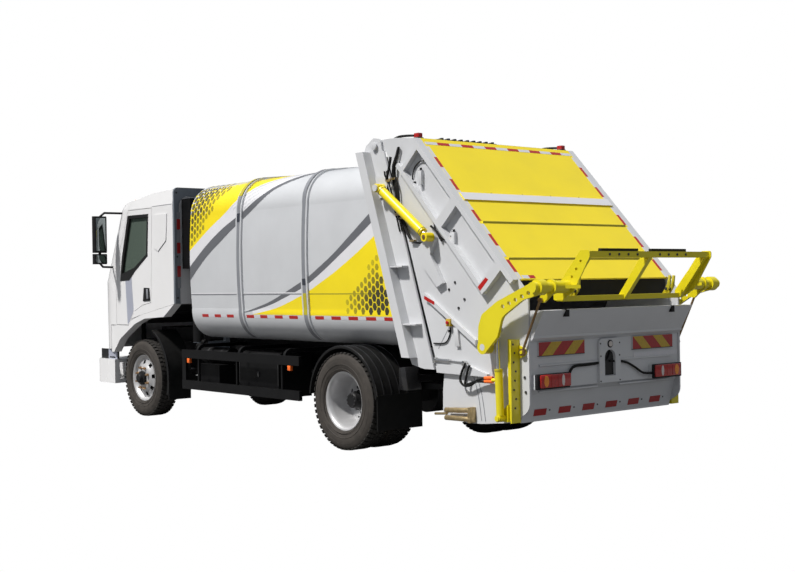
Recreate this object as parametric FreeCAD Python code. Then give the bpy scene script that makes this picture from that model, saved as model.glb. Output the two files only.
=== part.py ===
import FreeCAD, Part
import math
import os

# Rear-loading refuse collection truck on a two-axle chassis.
# X is the vehicle's left, Y runs from the cab to the tailgate, Z is up, in millimetres.
# Y is measured from the front axle while modelling; the export moves it to mid length.

V = FreeCAD.Vector

# Wheels and axles
WHEELBASE = 4500.0
TYRE_R = 500.0
TYRE_W = 275.0
BEAD_W = 210.0
RIM_R = 290.0
FRONT_TYRE_X = 915.0
REAR_TYRE_X = 1112.0
DUAL_SPACING = 315.0
KINGPIN_X = 735.0
KINGPIN_R = 22.0
SPINDLE_R = 45.0
RUN_FIT = 0.05
ARCH_GAP = 35.0
ARCH_T = 20.0

# Frame
RAIL_X = 430.0
RAIL_BOTTOM = 700.0
RAIL_H = 260.0
RAIL_FLANGE = 80.0
RAIL_T = 10.0
RAIL_FRONT = -1080.0
RAIL_REAR = 5630.0
SUBFRAME_H = 100.0
CROSS_T = 60.0
GUARD_X = 1165.0
GUARD_FRONT = 1210.0
GUARD_REAR = WHEELBASE - TYRE_R - 350.0

# Refuse body
BODY_FRONT = 1450.0
BODY_SIDE_X = 1172.0
BODY_EDGE_X = 1150.0
BODY_BOTTOM = RAIL_BOTTOM + RAIL_H + SUBFRAME_H
BODY_TOP = 2950.0
LOWER_CORNER_Z = 1420.0
UPPER_CORNER_Z = BODY_TOP - 430.0
FLOOR_X = 830.0
ROOF_X = 760.0
ROOF_EDGE_Z = BODY_TOP - 50.0
BODY_WALL = 12.0
HOOP_Y = (2540.0, 3800.0)
HOOP_W = 110.0
HOOP_H = 22.0

# Slanted seam between body and tailgate
SEAM_LOW = (5726.0, 866.0)
SEAM_HIGH = (5343.0, 2037.0)
PORTAL_W = 318.0
PORTAL_TOP = 2985.0
PORTAL_BOTTOM = 866.0
PORTAL_PLATE = 20.0
PORTAL_X = 1195.0
PORTAL_BOX_W = 115.0
SEAM_GAP = 8.0

# Tailgate
SIDE_IN = 1045.0
SIDE_T = 20.0
SIDE_OUT = SIDE_IN + SIDE_T
RIB_H = 60.0
HINGE = (4911.0, 3040.0)
HINGE_R = 30.0
RIDGE_FRONT = (5192.0, 3097.0)
RIDGE_REAR = (5528.0, 3062.0)
SLOPE_DIR = (0.6843, -0.7292)
TAIL_REAR = 6925.0
TAIL_REAR_TOP = RIDGE_REAR[1] + (TAIL_REAR - RIDGE_REAR[0]) / SLOPE_DIR[0] * SLOPE_DIR[1]
TAIL_BOTTOM = 400.0
PANEL_T = 12.0
TROUGH_C = (6315.0, 1150.0)
TROUGH_R = 585.0
LIP_LOW = (6962.0, 1204.0)
LIP_TOP = (7090.0, 1427.0)
COVER_L = 1870.0

# Tailgate lift cylinders
LIFT_X = 1160.0
LIFT_TOP = (5041.0, 2614.0)
LIFT_LOW = (5738.0, 2109.0)
LIFT_BARREL_R = 46.0
LIFT_ROD_R = 26.0
LIFT_EYE_R = 42.0
LIFT_EYE_W = 98.0
LIFT_PIN_R = 22.0
LIFT_STROKE = 595.0

# Bin lifter
ARM_PIVOT = (6500.0, 1104.0)
ARM_X = 1185.0
ARM_T = 30.0
ARM_BOSS_R = 62.0
ARM_PIN_R = 30.0
TUBE_C = (7190.0, 1630.0)
TUBE_R = 45.0
TUBE_START_X = 880.0
TUBE_END_X = 1295.0
GRAB_X = 850.0
ARM_EYE = (6613.0, 1261.0)
CYL_FOOT = (6640.0, 480.0)
CYL_X = 1140.0
CYL_BARREL_R = 36.0
CYL_ROD_R = 19.0
CYL_PIN_R = 18.0
CYL_EYE_R = 32.0
CYL_EYE_W = 78.0
CYL_BARREL_TOP = 914.0
LINK_LOW = (6870.0, 1067.0)
LINK_TOP = (7092.0, 1520.0)
LINK_X = 1092.0
LINK_R = 15.0

# Packer
PACKER_X = 1025.0
BLADE_HINGE = (6157.0, 1801.0)
BLADE_L = 480.0

# Cab
CAB_X = 1120.0
CAB_REAR = 965.0
CAB_WALL = 50.0
CAB_ROOF_SPLIT = 2700.0
SHELL_LOW_REAR = -700.0
FRONT_OVERHANG = 1280.0
DOOR_GAP = 6.0
TILT_PIVOT = (-1130.0, 640.0)
TILT_PIN_R = 22.0
WHEEL_HUB = (520.0, -560.0, 1850.0)
WHEEL_LEAN = 33.0
BUMPER_TOP = 720.0
BUMPER_BOTTOM = 400.0

# Registration plate screws in the bumper
BUMPER_SPLIT = 700.0
PLATE_Z = 470.0
PLATE_PITCH = 300.0
PLATE_HOLE_R = 4.0

REAR_TIP = 7450.0
MID_Y = (REAR_TIP - FRONT_OVERHANG) / 2


def box(x0, x1, y0, y1, z0, z1):
    return Part.makeBox(x1 - x0, y1 - y0, z1 - z0, V(x0, y0, z0))


def rod(start, end, radius):
    axis = V(*end) - V(*start)
    return Part.makeCylinder(radius, axis.Length, V(*start), axis)


def fuse(shapes):
    result = shapes[0]
    for shape in shapes[1:]:
        result = result.fuse(shape)
    return result.removeSplitter()


def both(shape):
    """The shape and its mirror image on the other side of the vehicle."""
    return Part.makeCompound([shape, mirrored(shape)])


def mirrored(shape):
    return shape.mirror(V(0, 0, 0), V(1, 0, 0))


def wire(points, place):
    """A closed outline of (u, v) or (u, v, radius) corners."""
    edges = []
    corners = []
    count = len(points)
    for i, point in enumerate(points):
        here = V(point[0], point[1], 0)
        if len(point) < 3:
            corners.append((here, here, None))
            continue
        before = V(*points[i - 1][:2], 0) - here
        after = V(*points[(i + 1) % count][:2], 0) - here
        before.normalize()
        after.normalize()
        half = before.getAngle(after) / 2
        reach = point[2] / math.tan(half)
        middle = before + after
        middle.normalize()
        bulge = here + middle * (point[2] / math.sin(half) - point[2])
        corners.append((here + before * reach, here + after * reach, bulge))
    for i, (start, end, bulge) in enumerate(corners):
        if bulge is not None:
            edges.append(Part.Arc(place(start), place(bulge), place(end)).toShape())
        following = corners[(i + 1) % count][0]
        if end.distanceToPoint(following) > 0.01:
            edges.append(Part.LineSegment(place(end), place(following)).toShape())
    return Part.Wire(edges)


def plate_x(points, x0, x1):
    """A (y, z) outline as a plate from x0 to x1."""
    face = Part.Face(wire(points, lambda p: V(x0, p.x, p.y)))
    return face.extrude(V(x1 - x0, 0, 0))


def plate_y(points, y0, y1):
    """An (x, z) outline as a plate from y0 to y1."""
    face = Part.Face(wire(points, lambda p: V(p.x, y0, p.y)))
    return face.extrude(V(0, y1 - y0, 0))


def plate_z(points, z0, z1):
    """An (x, y) outline as a plate from z0 to z1."""
    face = Part.Face(wire(points, lambda p: V(p.x, p.y, z0)))
    return face.extrude(V(0, 0, z1 - z0))


def turned(profile, y, z):
    """An (x, radius) profile turned about the crosswise line through (y, z)."""
    points = [V(x, y, z + r) for x, r in profile]
    face = Part.Face(Part.makePolygon(points + points[:1]))
    return face.revolve(V(0, y, z), V(1, 0, 0), 360)


def between(start, end, share):
    return (start[0] + (end[0] - start[0]) * share, start[1] + (end[1] - start[1]) * share)


def seam_y(z):
    """Where the slanted seam stands at height z."""
    slope = (SEAM_HIGH[0] - SEAM_LOW[0]) / (SEAM_HIGH[1] - SEAM_LOW[1])
    return SEAM_LOW[0] + (z - SEAM_LOW[1]) * slope


def portal_front_y(z):
    return seam_y(z) - PORTAL_W


def along_slope(distance, inward=0.0):
    """A point on the sloped rear, measured down from its ridge and in from its face."""
    y = RIDGE_REAR[0] + SLOPE_DIR[0] * distance + SLOPE_DIR[1] * inward
    z = RIDGE_REAR[1] + SLOPE_DIR[1] * distance - SLOPE_DIR[0] * inward
    return (y, z)


# Wheels

def tyre(x, inner_simple):
    half = TYRE_W / 2
    bead = BEAD_W / 2
    bulge_r = TYRE_R * 0.80
    profile = [(x + bead, RIM_R), (x + half, bulge_r), (x + bead, TYRE_R), (x - bead, TYRE_R)]
    if not inner_simple:
        profile.append((x - half, bulge_r))
    profile.append((x - bead, RIM_R))
    return profile


def front_tyre():
    return turned(tyre(FRONT_TYRE_X, True), 0, TYRE_R)


def front_rim():
    outer = FRONT_TYRE_X + BEAD_W / 2
    inner = FRONT_TYRE_X - BEAD_W / 2
    bore = SPINDLE_R + RUN_FIT
    profile = [(inner, RIM_R), (outer, RIM_R), (outer, 272), (outer - 45, 250), (outer - 20, 130),
               (outer + 45, 110), (outer + 45, 60), (outer - 60, 60), (outer - 60, bore), (inner, bore)]
    return turned(profile, 0, TYRE_R)


def rear_tyres():
    outer = turned(tyre(REAR_TYRE_X, True), WHEELBASE, TYRE_R)
    inner_x = REAR_TYRE_X - DUAL_SPACING
    facing = [(2 * inner_x - x, r) for x, r in tyre(inner_x, True)]
    return Part.makeCompound([outer, turned(facing, WHEELBASE, TYRE_R)])


def rear_rim():
    outer = REAR_TYRE_X + BEAD_W / 2
    inner = REAR_TYRE_X - DUAL_SPACING - BEAD_W / 2
    disc = REAR_TYRE_X - DUAL_SPACING / 2
    bore = SPINDLE_R + RUN_FIT
    profile = [(inner, RIM_R), (outer, RIM_R), (outer, 272), (disc + 20, 240), (disc, 150),
               (disc + 10, 115), (outer - 40, 100), (outer - 40, 40), (disc + 120, 40),
               (disc + 120, bore), (inner, bore)]
    return turned(profile, WHEELBASE, TYRE_R)


def knuckle():
    """Fork around the axle end with its kingpin and the wheel spindle."""
    fork_in = KINGPIN_X - 45
    web = KINGPIN_X + 55
    hub_in = FRONT_TYRE_X - BEAD_W / 2
    upper = box(fork_in, web + 18, -45, 45, TYRE_R + 72, TYRE_R + 100)
    lower = box(fork_in, web + 18, -45, 45, TYRE_R - 100, TYRE_R - 72)
    plate = box(web, web + 18, -60, 60, TYRE_R - 100, TYRE_R + 100)
    pin = rod((KINGPIN_X, 0, TYRE_R - 110), (KINGPIN_X, 0, TYRE_R + 110), KINGPIN_R)
    spindle = rod((web + 10, 0, TYRE_R), (hub_in + BEAD_W - 70, 0, TYRE_R), SPINDLE_R)
    steering_arm = box(KINGPIN_X - 30, KINGPIN_X + 30, -230, -40, TYRE_R - 100, TYRE_R - 72)
    return fuse([upper, lower, plate, pin, spindle, steering_arm])


# Frame

def channel_rail():
    top = RAIL_BOTTOM + RAIL_H
    web = box(RAIL_X - RAIL_T, RAIL_X, RAIL_FRONT, RAIL_REAR, RAIL_BOTTOM, top)
    low = box(RAIL_X - RAIL_FLANGE, RAIL_X, RAIL_FRONT, RAIL_REAR, RAIL_BOTTOM, RAIL_BOTTOM + RAIL_T)
    high = box(RAIL_X - RAIL_FLANGE, RAIL_X, RAIL_FRONT, RAIL_REAR, top - RAIL_T, top)
    return fuse([web, low, high])


def frame_rails():
    return both(channel_rail())


def cross_members():
    inside = RAIL_X - RAIL_T
    middle = RAIL_BOTTOM + RAIL_H / 2
    solids = []
    for y in (RAIL_FRONT + 60, 1250.0, 2450.0, 3700.0, 5250.0):
        solids.append(box(-inside, inside, y, y + CROSS_T, middle - 20, middle + 100))
    top = RAIL_BOTTOM + RAIL_H
    beam = box(RAIL_X - RAIL_FLANGE, RAIL_X, BODY_FRONT, portal_front_y(BODY_BOTTOM) - 20, top, BODY_BOTTOM)
    solids += [beam, mirrored(beam)]
    return Part.makeCompound(solids)


def axles():
    """Forged front beam with its kingpin eyes, and the driven rear housing."""
    low = TYRE_R - 130
    drop = [(-KINGPIN_X + 70, TYRE_R - 40), (-KINGPIN_X + 70, TYRE_R + 35), (-500, TYRE_R - 20),
            (500, TYRE_R - 20), (KINGPIN_X - 70, TYRE_R + 35), (KINGPIN_X - 70, TYRE_R - 40),
            (520, low), (-520, low)]
    beam = plate_y(drop, -45, 45)
    parts = [beam]
    for side in (-1, 1):
        x = side * KINGPIN_X
        eye = rod((x, 0, TYRE_R - 70), (x, 0, TYRE_R + 70), 44)
        neck = box(min(x, x - side * 75), max(x, x - side * 75), -38, 38, TYRE_R - 40, TYRE_R + 35)
        parts += [eye, neck]
    front = fuse(parts)
    for side in (-1, 1):
        x = side * KINGPIN_X
        front = front.cut(rod((x, 0, 300), (x, 0, 700), KINGPIN_R + RUN_FIT))
    inner = REAR_TYRE_X - DUAL_SPACING - BEAD_W / 2
    housing = box(-inner + 12, inner - 12, WHEELBASE - 65, WHEELBASE + 65, TYRE_R - 70, TYRE_R + 70)
    bowl = rod((-120, WHEELBASE, TYRE_R), (120, WHEELBASE, TYRE_R), 200)
    nose = rod((0, WHEELBASE - 330, TYRE_R + 20), (0, WHEELBASE, TYRE_R + 20), 90)
    tip = REAR_TYRE_X - DUAL_SPACING / 2 + 110
    spindle = rod((-tip, WHEELBASE, TYRE_R), (tip, WHEELBASE, TYRE_R), SPINDLE_R)
    return Part.makeCompound([front, fuse([housing, bowl, nose, spindle])])


def leaf_springs():
    """Arched packs that seat on the axles and hang from the rails."""
    solids = []
    for y, seat, x0, reach in ((0, TYRE_R - 20, 360, 720), (WHEELBASE, TYRE_R + 70, 440, 760)):
        eye = RAIL_BOTTOM - 60
        pack = [(y - reach, eye - 25), (y - 90, seat), (y + 90, seat), (y + reach, eye - 25),
                (y + reach, eye + 25), (y + 90, seat + 90), (y - 90, seat + 90), (y - reach, eye + 25)]
        spring = plate_x(pack, x0, x0 + 80)
        hangers = []
        for end in (y - reach, y + reach):
            top = RAIL_BOTTOM if x0 < RAIL_X else RAIL_BOTTOM + 120
            hangers.append(box(x0, x0 + 80, end - 45, end + 45, eye - 40, top))
        pack = fuse([spring] + hangers)
        if x0 > RAIL_X:
            arm = [box(RAIL_X, x0, end - 45, end + 45, RAIL_BOTTOM + 20, RAIL_BOTTOM + 120)
                   for end in (y - reach, y + reach)]
            pack = fuse([pack] + arm)
        solids += [pack, mirrored(pack)]
    return Part.makeCompound(solids)


def driveline():
    """Engine block, gearbox and the shaft to the rear axle."""
    engine = box(-320, 320, -780, 300, 590, 1130)
    bell = plate_x([(300, 600), (300, 980), (520, 930), (1120, 860), (1120, 640), (520, 600)], -190, 190)
    nose = WHEELBASE - 330
    shaft = rod((0, 1120, 750), (0, nose - 20, TYRE_R + 20), 50)
    yoke = rod((0, nose - 40, TYRE_R + 20), (0, nose, TYRE_R + 20), 60)
    inside = RAIL_X - RAIL_T
    mount = box(-inside, inside, -620, -540, RAIL_BOTTOM + RAIL_T, RAIL_BOTTOM + 60)
    return fuse([engine, bell, shaft, yoke, mount])


def tanks():
    """Battery and air tanks on the left, fuel and oil tanks on the right."""
    battery = box(RAIL_X, 1020, 1330, 1830, 470, 740)
    case = [(560, 420), (560, 920), (1010, 920, 60), (1010, 420, 60)]
    locker = plate_y(case, 2250, 3050)
    bracket = box(RAIL_X, 560, 2300, 2400, 740, 900)
    air = rod((840, 1250, 840), (840, 1850, 840), 95)
    foot = box(800, 880, 1400, 1440, 735, 765)
    left = [fuse([battery, air, foot]), fuse([locker, bracket])]
    fuel_case = [(-1040, 420, 90), (-1040, 930, 90), (-480, 930, 90), (-480, 420, 90)]
    fuel = plate_y(fuel_case, 1300, 2450)
    strap = box(-500, -RAIL_X, 1500, 1600, 740, 900)
    oil = plate_y([(-1020, 440, 40), (-1020, 930, 40), (-500, 930, 40), (-500, 440, 40)], 2560, 3250)
    strap_oil = box(-520, -RAIL_X, 2700, 2800, 740, 900)
    return Part.makeCompound(left + [fuse([fuel, strap]), fuse([oil, strap_oil])])


def side_guard():
    """Two rails on posts, held by bent tubes that run up and in to the frame."""
    outer = GUARD_X
    length = GUARD_REAR - GUARD_FRONT
    top = box(outer - 40, outer, GUARD_FRONT, GUARD_REAR, 815, 915)
    low = box(outer - 40, outer, GUARD_FRONT, GUARD_REAR, 440, 545)
    posts = [box(outer - 40, outer - 5, GUARD_FRONT, GUARD_FRONT + 80, 540, 820)]
    hoops = []
    for share, lead in ((0.145, 80), (0.488, 0), (0.857, 0)):
        y = GUARD_FRONT + length * share
        posts.append(box(outer - 35, outer - 10, y, y + 25, 540, 820))
        bend = [(outer - 38, 820), (outer - 38, 985, 90), (RAIL_X, 985), (RAIL_X, 945),
                (outer - 78, 945, 50), (outer - 78, 820)]
        hoops.append(plate_y(bend, y - lead, y - lead + 40))
    return fuse([top, low] + posts + hoops)


def side_guards():
    return both(side_guard())


def bumper_shell():
    """Bumper skin that wraps round to the wheels."""
    front = -FRONT_OVERHANG
    outline = [(-1110, -640), (-1110, -1120, 120), (-900, front, 200), (900, front, 200),
               (1110, -1120, 120), (1110, -640), (1040, -640), (1040, -1080, 60), (840, front + 110, 150),
               (-840, front + 110, 150), (-1040, -1080, 60), (-1040, -640)]
    return plate_z(outline, BUMPER_BOTTOM, BUMPER_TOP)


def bumper():
    """Middle of the bumper on the two arms that also hold the cab's tilt pins."""
    front = -FRONT_OVERHANG
    middle = bumper_shell().common(box(-BUMPER_SPLIT, BUMPER_SPLIT, front - 10, 0, 0, 1000))
    arms = [box(s * 390 - 35, s * 390 + 35, front + 90, RAIL_FRONT, 560, RAIL_BOTTOM + 60) for s in (-1, 1)]
    arms += [rod((s * 420, *TILT_PIVOT), (s * 472, *TILT_PIVOT), TILT_PIN_R) for s in (-1, 1)]
    holes = [rod((x, front - 5, PLATE_Z), (x, front + 30, PLATE_Z), PLATE_HOLE_R)
             for x in (-PLATE_PITCH / 2, PLATE_PITCH / 2)]
    return fuse([middle.cut(fuse(holes))] + arms)


def bumper_corners():
    """Bumper ends with their step boxes, held by ties below the rails."""
    corner = bumper_shell().common(box(BUMPER_SPLIT + 2, 1200, -1400, 0, 0, 1000))
    parts = [corner]
    parts.append(box(780, 1050, -1050, -660, BUMPER_BOTTOM, BUMPER_BOTTOM + 50))
    parts.append(box(780, 1050, -1050, -660, BUMPER_TOP - 45, BUMPER_TOP))
    parts.append(box(720, 790, -1190, -660, BUMPER_BOTTOM, BUMPER_TOP))
    parts.append(box(400, 730, -900, -840, 600, 680))
    parts.append(box(400, 430, -920, -820, 600, RAIL_BOTTOM))
    return both(fuse(parts))


def ring_sector(y, z, r_in, r_out, start, end, x0, x1):
    """Part of a tube about a crosswise line, from start to end degrees up from +Y."""
    def at(radius, degrees):
        angle = math.radians(degrees)
        return V(x0, y + radius * math.cos(angle), z + radius * math.sin(angle))
    middle = (start + end) / 2
    outer = Part.Arc(at(r_out, start), at(r_out, middle), at(r_out, end)).toShape()
    inner = Part.Arc(at(r_in, end), at(r_in, middle), at(r_in, start)).toShape()
    side = Part.LineSegment(at(r_out, end), at(r_in, end)).toShape()
    close = Part.LineSegment(at(r_in, start), at(r_out, start)).toShape()
    return Part.Face(Part.Wire([outer, side, inner, close])).extrude(V(x1 - x0, 0, 0))


def front_mudguards():
    """Rear halves of the front wheels' guards with their flaps."""
    tyre_out = FRONT_TYRE_X + TYRE_W / 2
    sweep = TYRE_R + 190
    guard = ring_sector(0, TYRE_R, sweep, sweep + 25, -15, 62, tyre_out - 310, tyre_out + 25)
    flap = box(tyre_out - 300, tyre_out + 15, sweep + 10, sweep + 25, 260, TYRE_R - 60)
    leg = box(RAIL_X, tyre_out - 290, sweep - 50, sweep + 10, 730, 800)
    return both(fuse([guard, flap, leg]))


def rear_mudguards():
    """Full guards over the twin wheels with their large flaps."""
    rear_out = REAR_TYRE_X + TYRE_W / 2
    rear_in = REAR_TYRE_X - DUAL_SPACING - TYRE_W / 2
    inner = TYRE_R + ARCH_GAP
    outer = inner + ARCH_T
    arch = ring_sector(WHEELBASE, TYRE_R, inner, outer, 5, 175, rear_in - 10, rear_out)
    flap = box(rear_in, rear_out - 10, WHEELBASE + inner + 8, WHEELBASE + outer + 1, 240, TYRE_R + 90)
    parts = [arch, flap]
    for y in (WHEELBASE + 410, WHEELBASE - 460):
        parts.append(box(RAIL_X, rear_in + 10, y, y + 50, 800, 860))
    return both(fuse(parts))


# Refuse body

def body_section(y, grow):
    """Outline of the body at y, moved outward by grow."""
    def at(x, z):
        return V(x, y, z)
    side_x = BODY_SIDE_X + grow
    edge_x = BODY_EDGE_X + grow
    low = BODY_BOTTOM - min(grow, 0)
    top = BODY_TOP + grow
    roof_edge = ROOF_EDGE_Z + grow
    mid_z = (LOWER_CORNER_Z + UPPER_CORNER_Z) / 2
    low_mid = (FLOOR_X + (edge_x - FLOOR_X) * 0.72, low + (LOWER_CORNER_Z - low) * 0.27)
    top_mid = (ROOF_X + (edge_x - ROOF_X) * 0.70, roof_edge - (roof_edge - UPPER_CORNER_Z) * 0.26)
    edges = [
        Part.LineSegment(at(-FLOOR_X, low), at(FLOOR_X, low)),
        Part.Arc(at(FLOOR_X, low), at(*low_mid), at(edge_x, LOWER_CORNER_Z)),
        Part.Arc(at(edge_x, LOWER_CORNER_Z), at(side_x, mid_z), at(edge_x, UPPER_CORNER_Z)),
        Part.Arc(at(edge_x, UPPER_CORNER_Z), at(*top_mid), at(ROOF_X, roof_edge)),
        Part.Arc(at(ROOF_X, roof_edge), at(0, top), at(-ROOF_X, roof_edge)),
        Part.Arc(at(-ROOF_X, roof_edge), at(-top_mid[0], top_mid[1]), at(-edge_x, UPPER_CORNER_Z)),
        Part.Arc(at(-edge_x, UPPER_CORNER_Z), at(-side_x, mid_z), at(-edge_x, LOWER_CORNER_Z)),
        Part.Arc(at(-edge_x, LOWER_CORNER_Z), at(-low_mid[0], low_mid[1]), at(-FLOOR_X, low)),
    ]
    return Part.Face(Part.Wire([edge.toShape() for edge in edges]))


def body_prism(y0, y1, grow):
    return body_section(y0, grow).extrude(V(0, y1 - y0, 0))


def before_portal():
    """The space in front of the portal's slanted face."""
    low = 500.0
    high = 3400.0
    outline = [(0, low), (portal_front_y(low), low), (portal_front_y(high), high), (0, high)]
    return plate_x(outline, -1500, 1500)


def body_shell():
    outer = body_prism(BODY_FRONT, 6000, 0)
    hoops = [body_prism(y - HOOP_W / 2, y + HOOP_W / 2, HOOP_H) for y in HOOP_Y]
    inner = body_prism(BODY_FRONT - 10, 6100, -BODY_WALL)
    return fuse([outer] + hoops).cut(inner).common(before_portal())


def body_parts():
    shell = body_shell()
    lower = box(-1400, 1400, 0, 6200, 0, LOWER_CORNER_Z)
    middle = box(-1400, 1400, 0, 6200, LOWER_CORNER_Z, UPPER_CORNER_Z)
    upper = box(-1400, 1400, 0, 6200, UPPER_CORNER_Z, 3400)
    front = body_prism(BODY_FRONT, BODY_FRONT + BODY_WALL, -BODY_WALL)
    stiffener = [box(x - 30, x + 30, BODY_FRONT - 50, BODY_FRONT, 1180, 2780) for x in (-600, 0, 600)]
    return {
        "body_floor": shell.common(lower),
        "body_sides": shell.common(middle),
        "body_roof": shell.common(upper),
        "body_front": fuse([front] + stiffener),
    }


def portal_column():
    """Slanted open-section column that the tailgate closes against."""
    lean = portal_front_y(PORTAL_TOP)
    outline = [(lean, PORTAL_TOP), (portal_front_y(971), 971), (5411, 900), (5582, PORTAL_BOTTOM),
               (seam_y(PORTAL_BOTTOM), PORTAL_BOTTOM), (seam_y(PORTAL_TOP), PORTAL_TOP)]
    base = plate_x(outline, SIDE_OUT + SEAM_GAP, SIDE_OUT + SEAM_GAP + PORTAL_PLATE)
    box_low = 971.0
    front_box = [(lean, PORTAL_TOP), (portal_front_y(box_low), box_low),
                 (portal_front_y(box_low) + PORTAL_BOX_W, box_low), (lean + PORTAL_BOX_W, PORTAL_TOP)]
    front = plate_x(front_box, SIDE_OUT + SEAM_GAP, PORTAL_X)
    parts = [base, front]
    for z in (1280, 1835):
        y0 = portal_front_y(z) + PORTAL_BOX_W
        shelf = [(y0 - 5, z), (y0 - 5, z + 14), (seam_y(z) - 30, z + 14), (seam_y(z) - 30, z)]
        parts.append(plate_x(shelf, SIDE_OUT + SEAM_GAP, PORTAL_X - 20))
    return fuse(parts)


def portal():
    """Rear ring of the body with the tailgate hinge ears and cylinder pins."""
    column = portal_column()
    ear_in = SIDE_OUT + SEAM_GAP
    ear_out = ear_in + PORTAL_PLATE
    y, z = HINGE
    ear = plate_x([(y - 215, PORTAL_TOP - 60), (y - 150, z + 15), (y - 30, z + 85, 60), (y + 75, z + 60, 50),
                   (y + 110, PORTAL_TOP - 60)], ear_in, ear_out)
    pin = rod((SIDE_IN - 20, y, z), (ear_out + 15, y, z), HINGE_R)
    y, z = LIFT_TOP
    lug = plate_x([(y - 120, z + 130), (y - 130, z - 120), (y + 25, z - 70, 40), (y + 60, z + 20, 40),
                   (y + 25, z + 110)], ear_in, LIFT_X - LIFT_EYE_W / 2 - 2)
    lift_pin = rod((ear_out, y, z), (LIFT_X + LIFT_EYE_W / 2 + 2, y, z), LIFT_PIN_R)
    head = rod((LIFT_X + LIFT_EYE_W / 2 + 2, y, z), (LIFT_X + LIFT_EYE_W / 2 + 14, y, z), LIFT_EYE_R - 8)
    side = fuse([column, ear, pin, lug, lift_pin, head])
    top = PORTAL_TOP - 45
    beam_low = top - 110
    header = plate_x([(portal_front_y(beam_low), beam_low), (portal_front_y(top), top),
                      (portal_front_y(top) + 200, top), (portal_front_y(beam_low) + 200, beam_low)],
                     -ear_in, ear_in)
    sill_high = BODY_BOTTOM - 10
    rail_top = RAIL_BOTTOM + RAIL_H
    sill = plate_x([(portal_front_y(sill_high), sill_high), (portal_front_y(rail_top), rail_top),
                    (RAIL_REAR, rail_top), (RAIL_REAR - 30, sill_high)], -ear_in, ear_in)
    return fuse([side, mirrored(side), header, sill])


def intake():
    """Grey panel behind the cab with its arched gap, and the air intake duct in it."""
    y = CAB_REAR + 25
    panel = plate_y([(-1130, 1470), (-1130, 2905, 60), (1130, 2905, 60), (1130, 1470)], y, y + 30)
    gap = plate_y([(660, 1200), (660, 2800, 130), (1060, 2800, 130), (1060, 1200)], y - 5, y + 40)
    panel = panel.cut(gap)
    duct = plate_z([(700, y + 10, 60), (1020, y + 10, 60), (1020, y + 230, 60), (700, y + 230, 60)], 1900, 2760)
    pipe = rod((860, y + 120, 985), (860, y + 120, 1905), 70)
    stay = box(RAIL_X, 870, y + 90, y + 150, 900, 990)
    frame = box(-500, 700, y + 30, y + 60, 1500, 1560)
    legs = [box(s * 400 - 30, s * 400 + 30, y, y + 60, RAIL_BOTTOM + RAIL_H, 1560) for s in (-1, 1)]
    clamp = box(600, 720, y + 25, y + 120, 2300, 2360)
    return fuse([panel, duct, pipe, stay, frame, clamp] + legs)


# Tailgate

def tailgate_side():
    """Side plate with its rim, long beam and cross ribs, and the hinge eye."""
    front_top = (seam_y(PORTAL_TOP - 10) + SEAM_GAP, PORTAL_TOP - 10)
    outline = [front_top, (HINGE[0] - 60, HINGE[1] - 35, 30), (HINGE[0] - 50, HINGE[1] + 60, 40),
               RIDGE_FRONT, RIDGE_REAR, (TAIL_REAR, TAIL_REAR_TOP), (TAIL_REAR, 560, 120),
               (6720, 440, 60), (6330, TAIL_BOTTOM, 120), (6134, TAIL_BOTTOM - 5, 60), (5810, 464, 40),
               (5816, 682), (5835, 830), (seam_y(830) + SEAM_GAP, 880)]
    plate = plate_x(outline, SIDE_IN, SIDE_OUT)
    rim = SIDE_OUT + RIB_H
    parts = [plate]
    edge = [RIDGE_REAR, along_slope(COVER_L), along_slope(COVER_L, 55), along_slope(20, 55)]
    parts.append(plate_x(edge, SIDE_OUT, rim))
    beam = [along_slope(-10, 330), along_slope(1695, 330), along_slope(1695, 375), along_slope(-10, 375)]
    parts.append(plate_x(beam, SIDE_OUT, rim))
    for distance, width in ((60, 45), (780, 100), (1600, 100)):
        rib = [along_slope(distance, 50), along_slope(distance + width, 50), along_slope(distance + width, 335),
               along_slope(distance, 335)]
        parts.append(plate_x(rib, SIDE_OUT, rim))
    ledge = [(5740, 955), (5770, 840), (6440, 830), (6440, 855), (6131, 940)]
    parts.append(plate_x(ledge, SIDE_OUT, SIDE_OUT + 35))
    brace = [(5603, 1539), (5603, 1590), (6290, 1157), (6290, 1107)]
    parts.append(plate_x(brace, SIDE_OUT, SIDE_OUT + 30))
    y, z = LIFT_LOW
    lug_out = LIFT_X - LIFT_EYE_W / 2 - 1
    lug = [(y - 10, z + 60, 40), (y + 50, z - 10, 30), (y - 30, z - 160), (y + 145, z - 430),
           (y + 60, z - 470), (y - 150, z - 260), (y - 250, z - 130), (y - 100, z - 20)]
    parts.append(plate_x(lug, SIDE_OUT, lug_out))
    eye = rod((SIDE_IN - 1, *HINGE), (SIDE_OUT + 1, *HINGE), HINGE_R + RUN_FIT)
    pivot = rod((SIDE_OUT - 5, *ARM_PIVOT), (ARM_X + ARM_T, *ARM_PIVOT), ARM_PIN_R)
    collar = rod((SIDE_OUT - 5, *ARM_PIVOT), (ARM_X - 60, *ARM_PIVOT), ARM_BOSS_R)
    return fuse(parts + [pivot, collar]).cut(eye)


def tailgate_sides():
    return both(tailgate_side())


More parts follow.
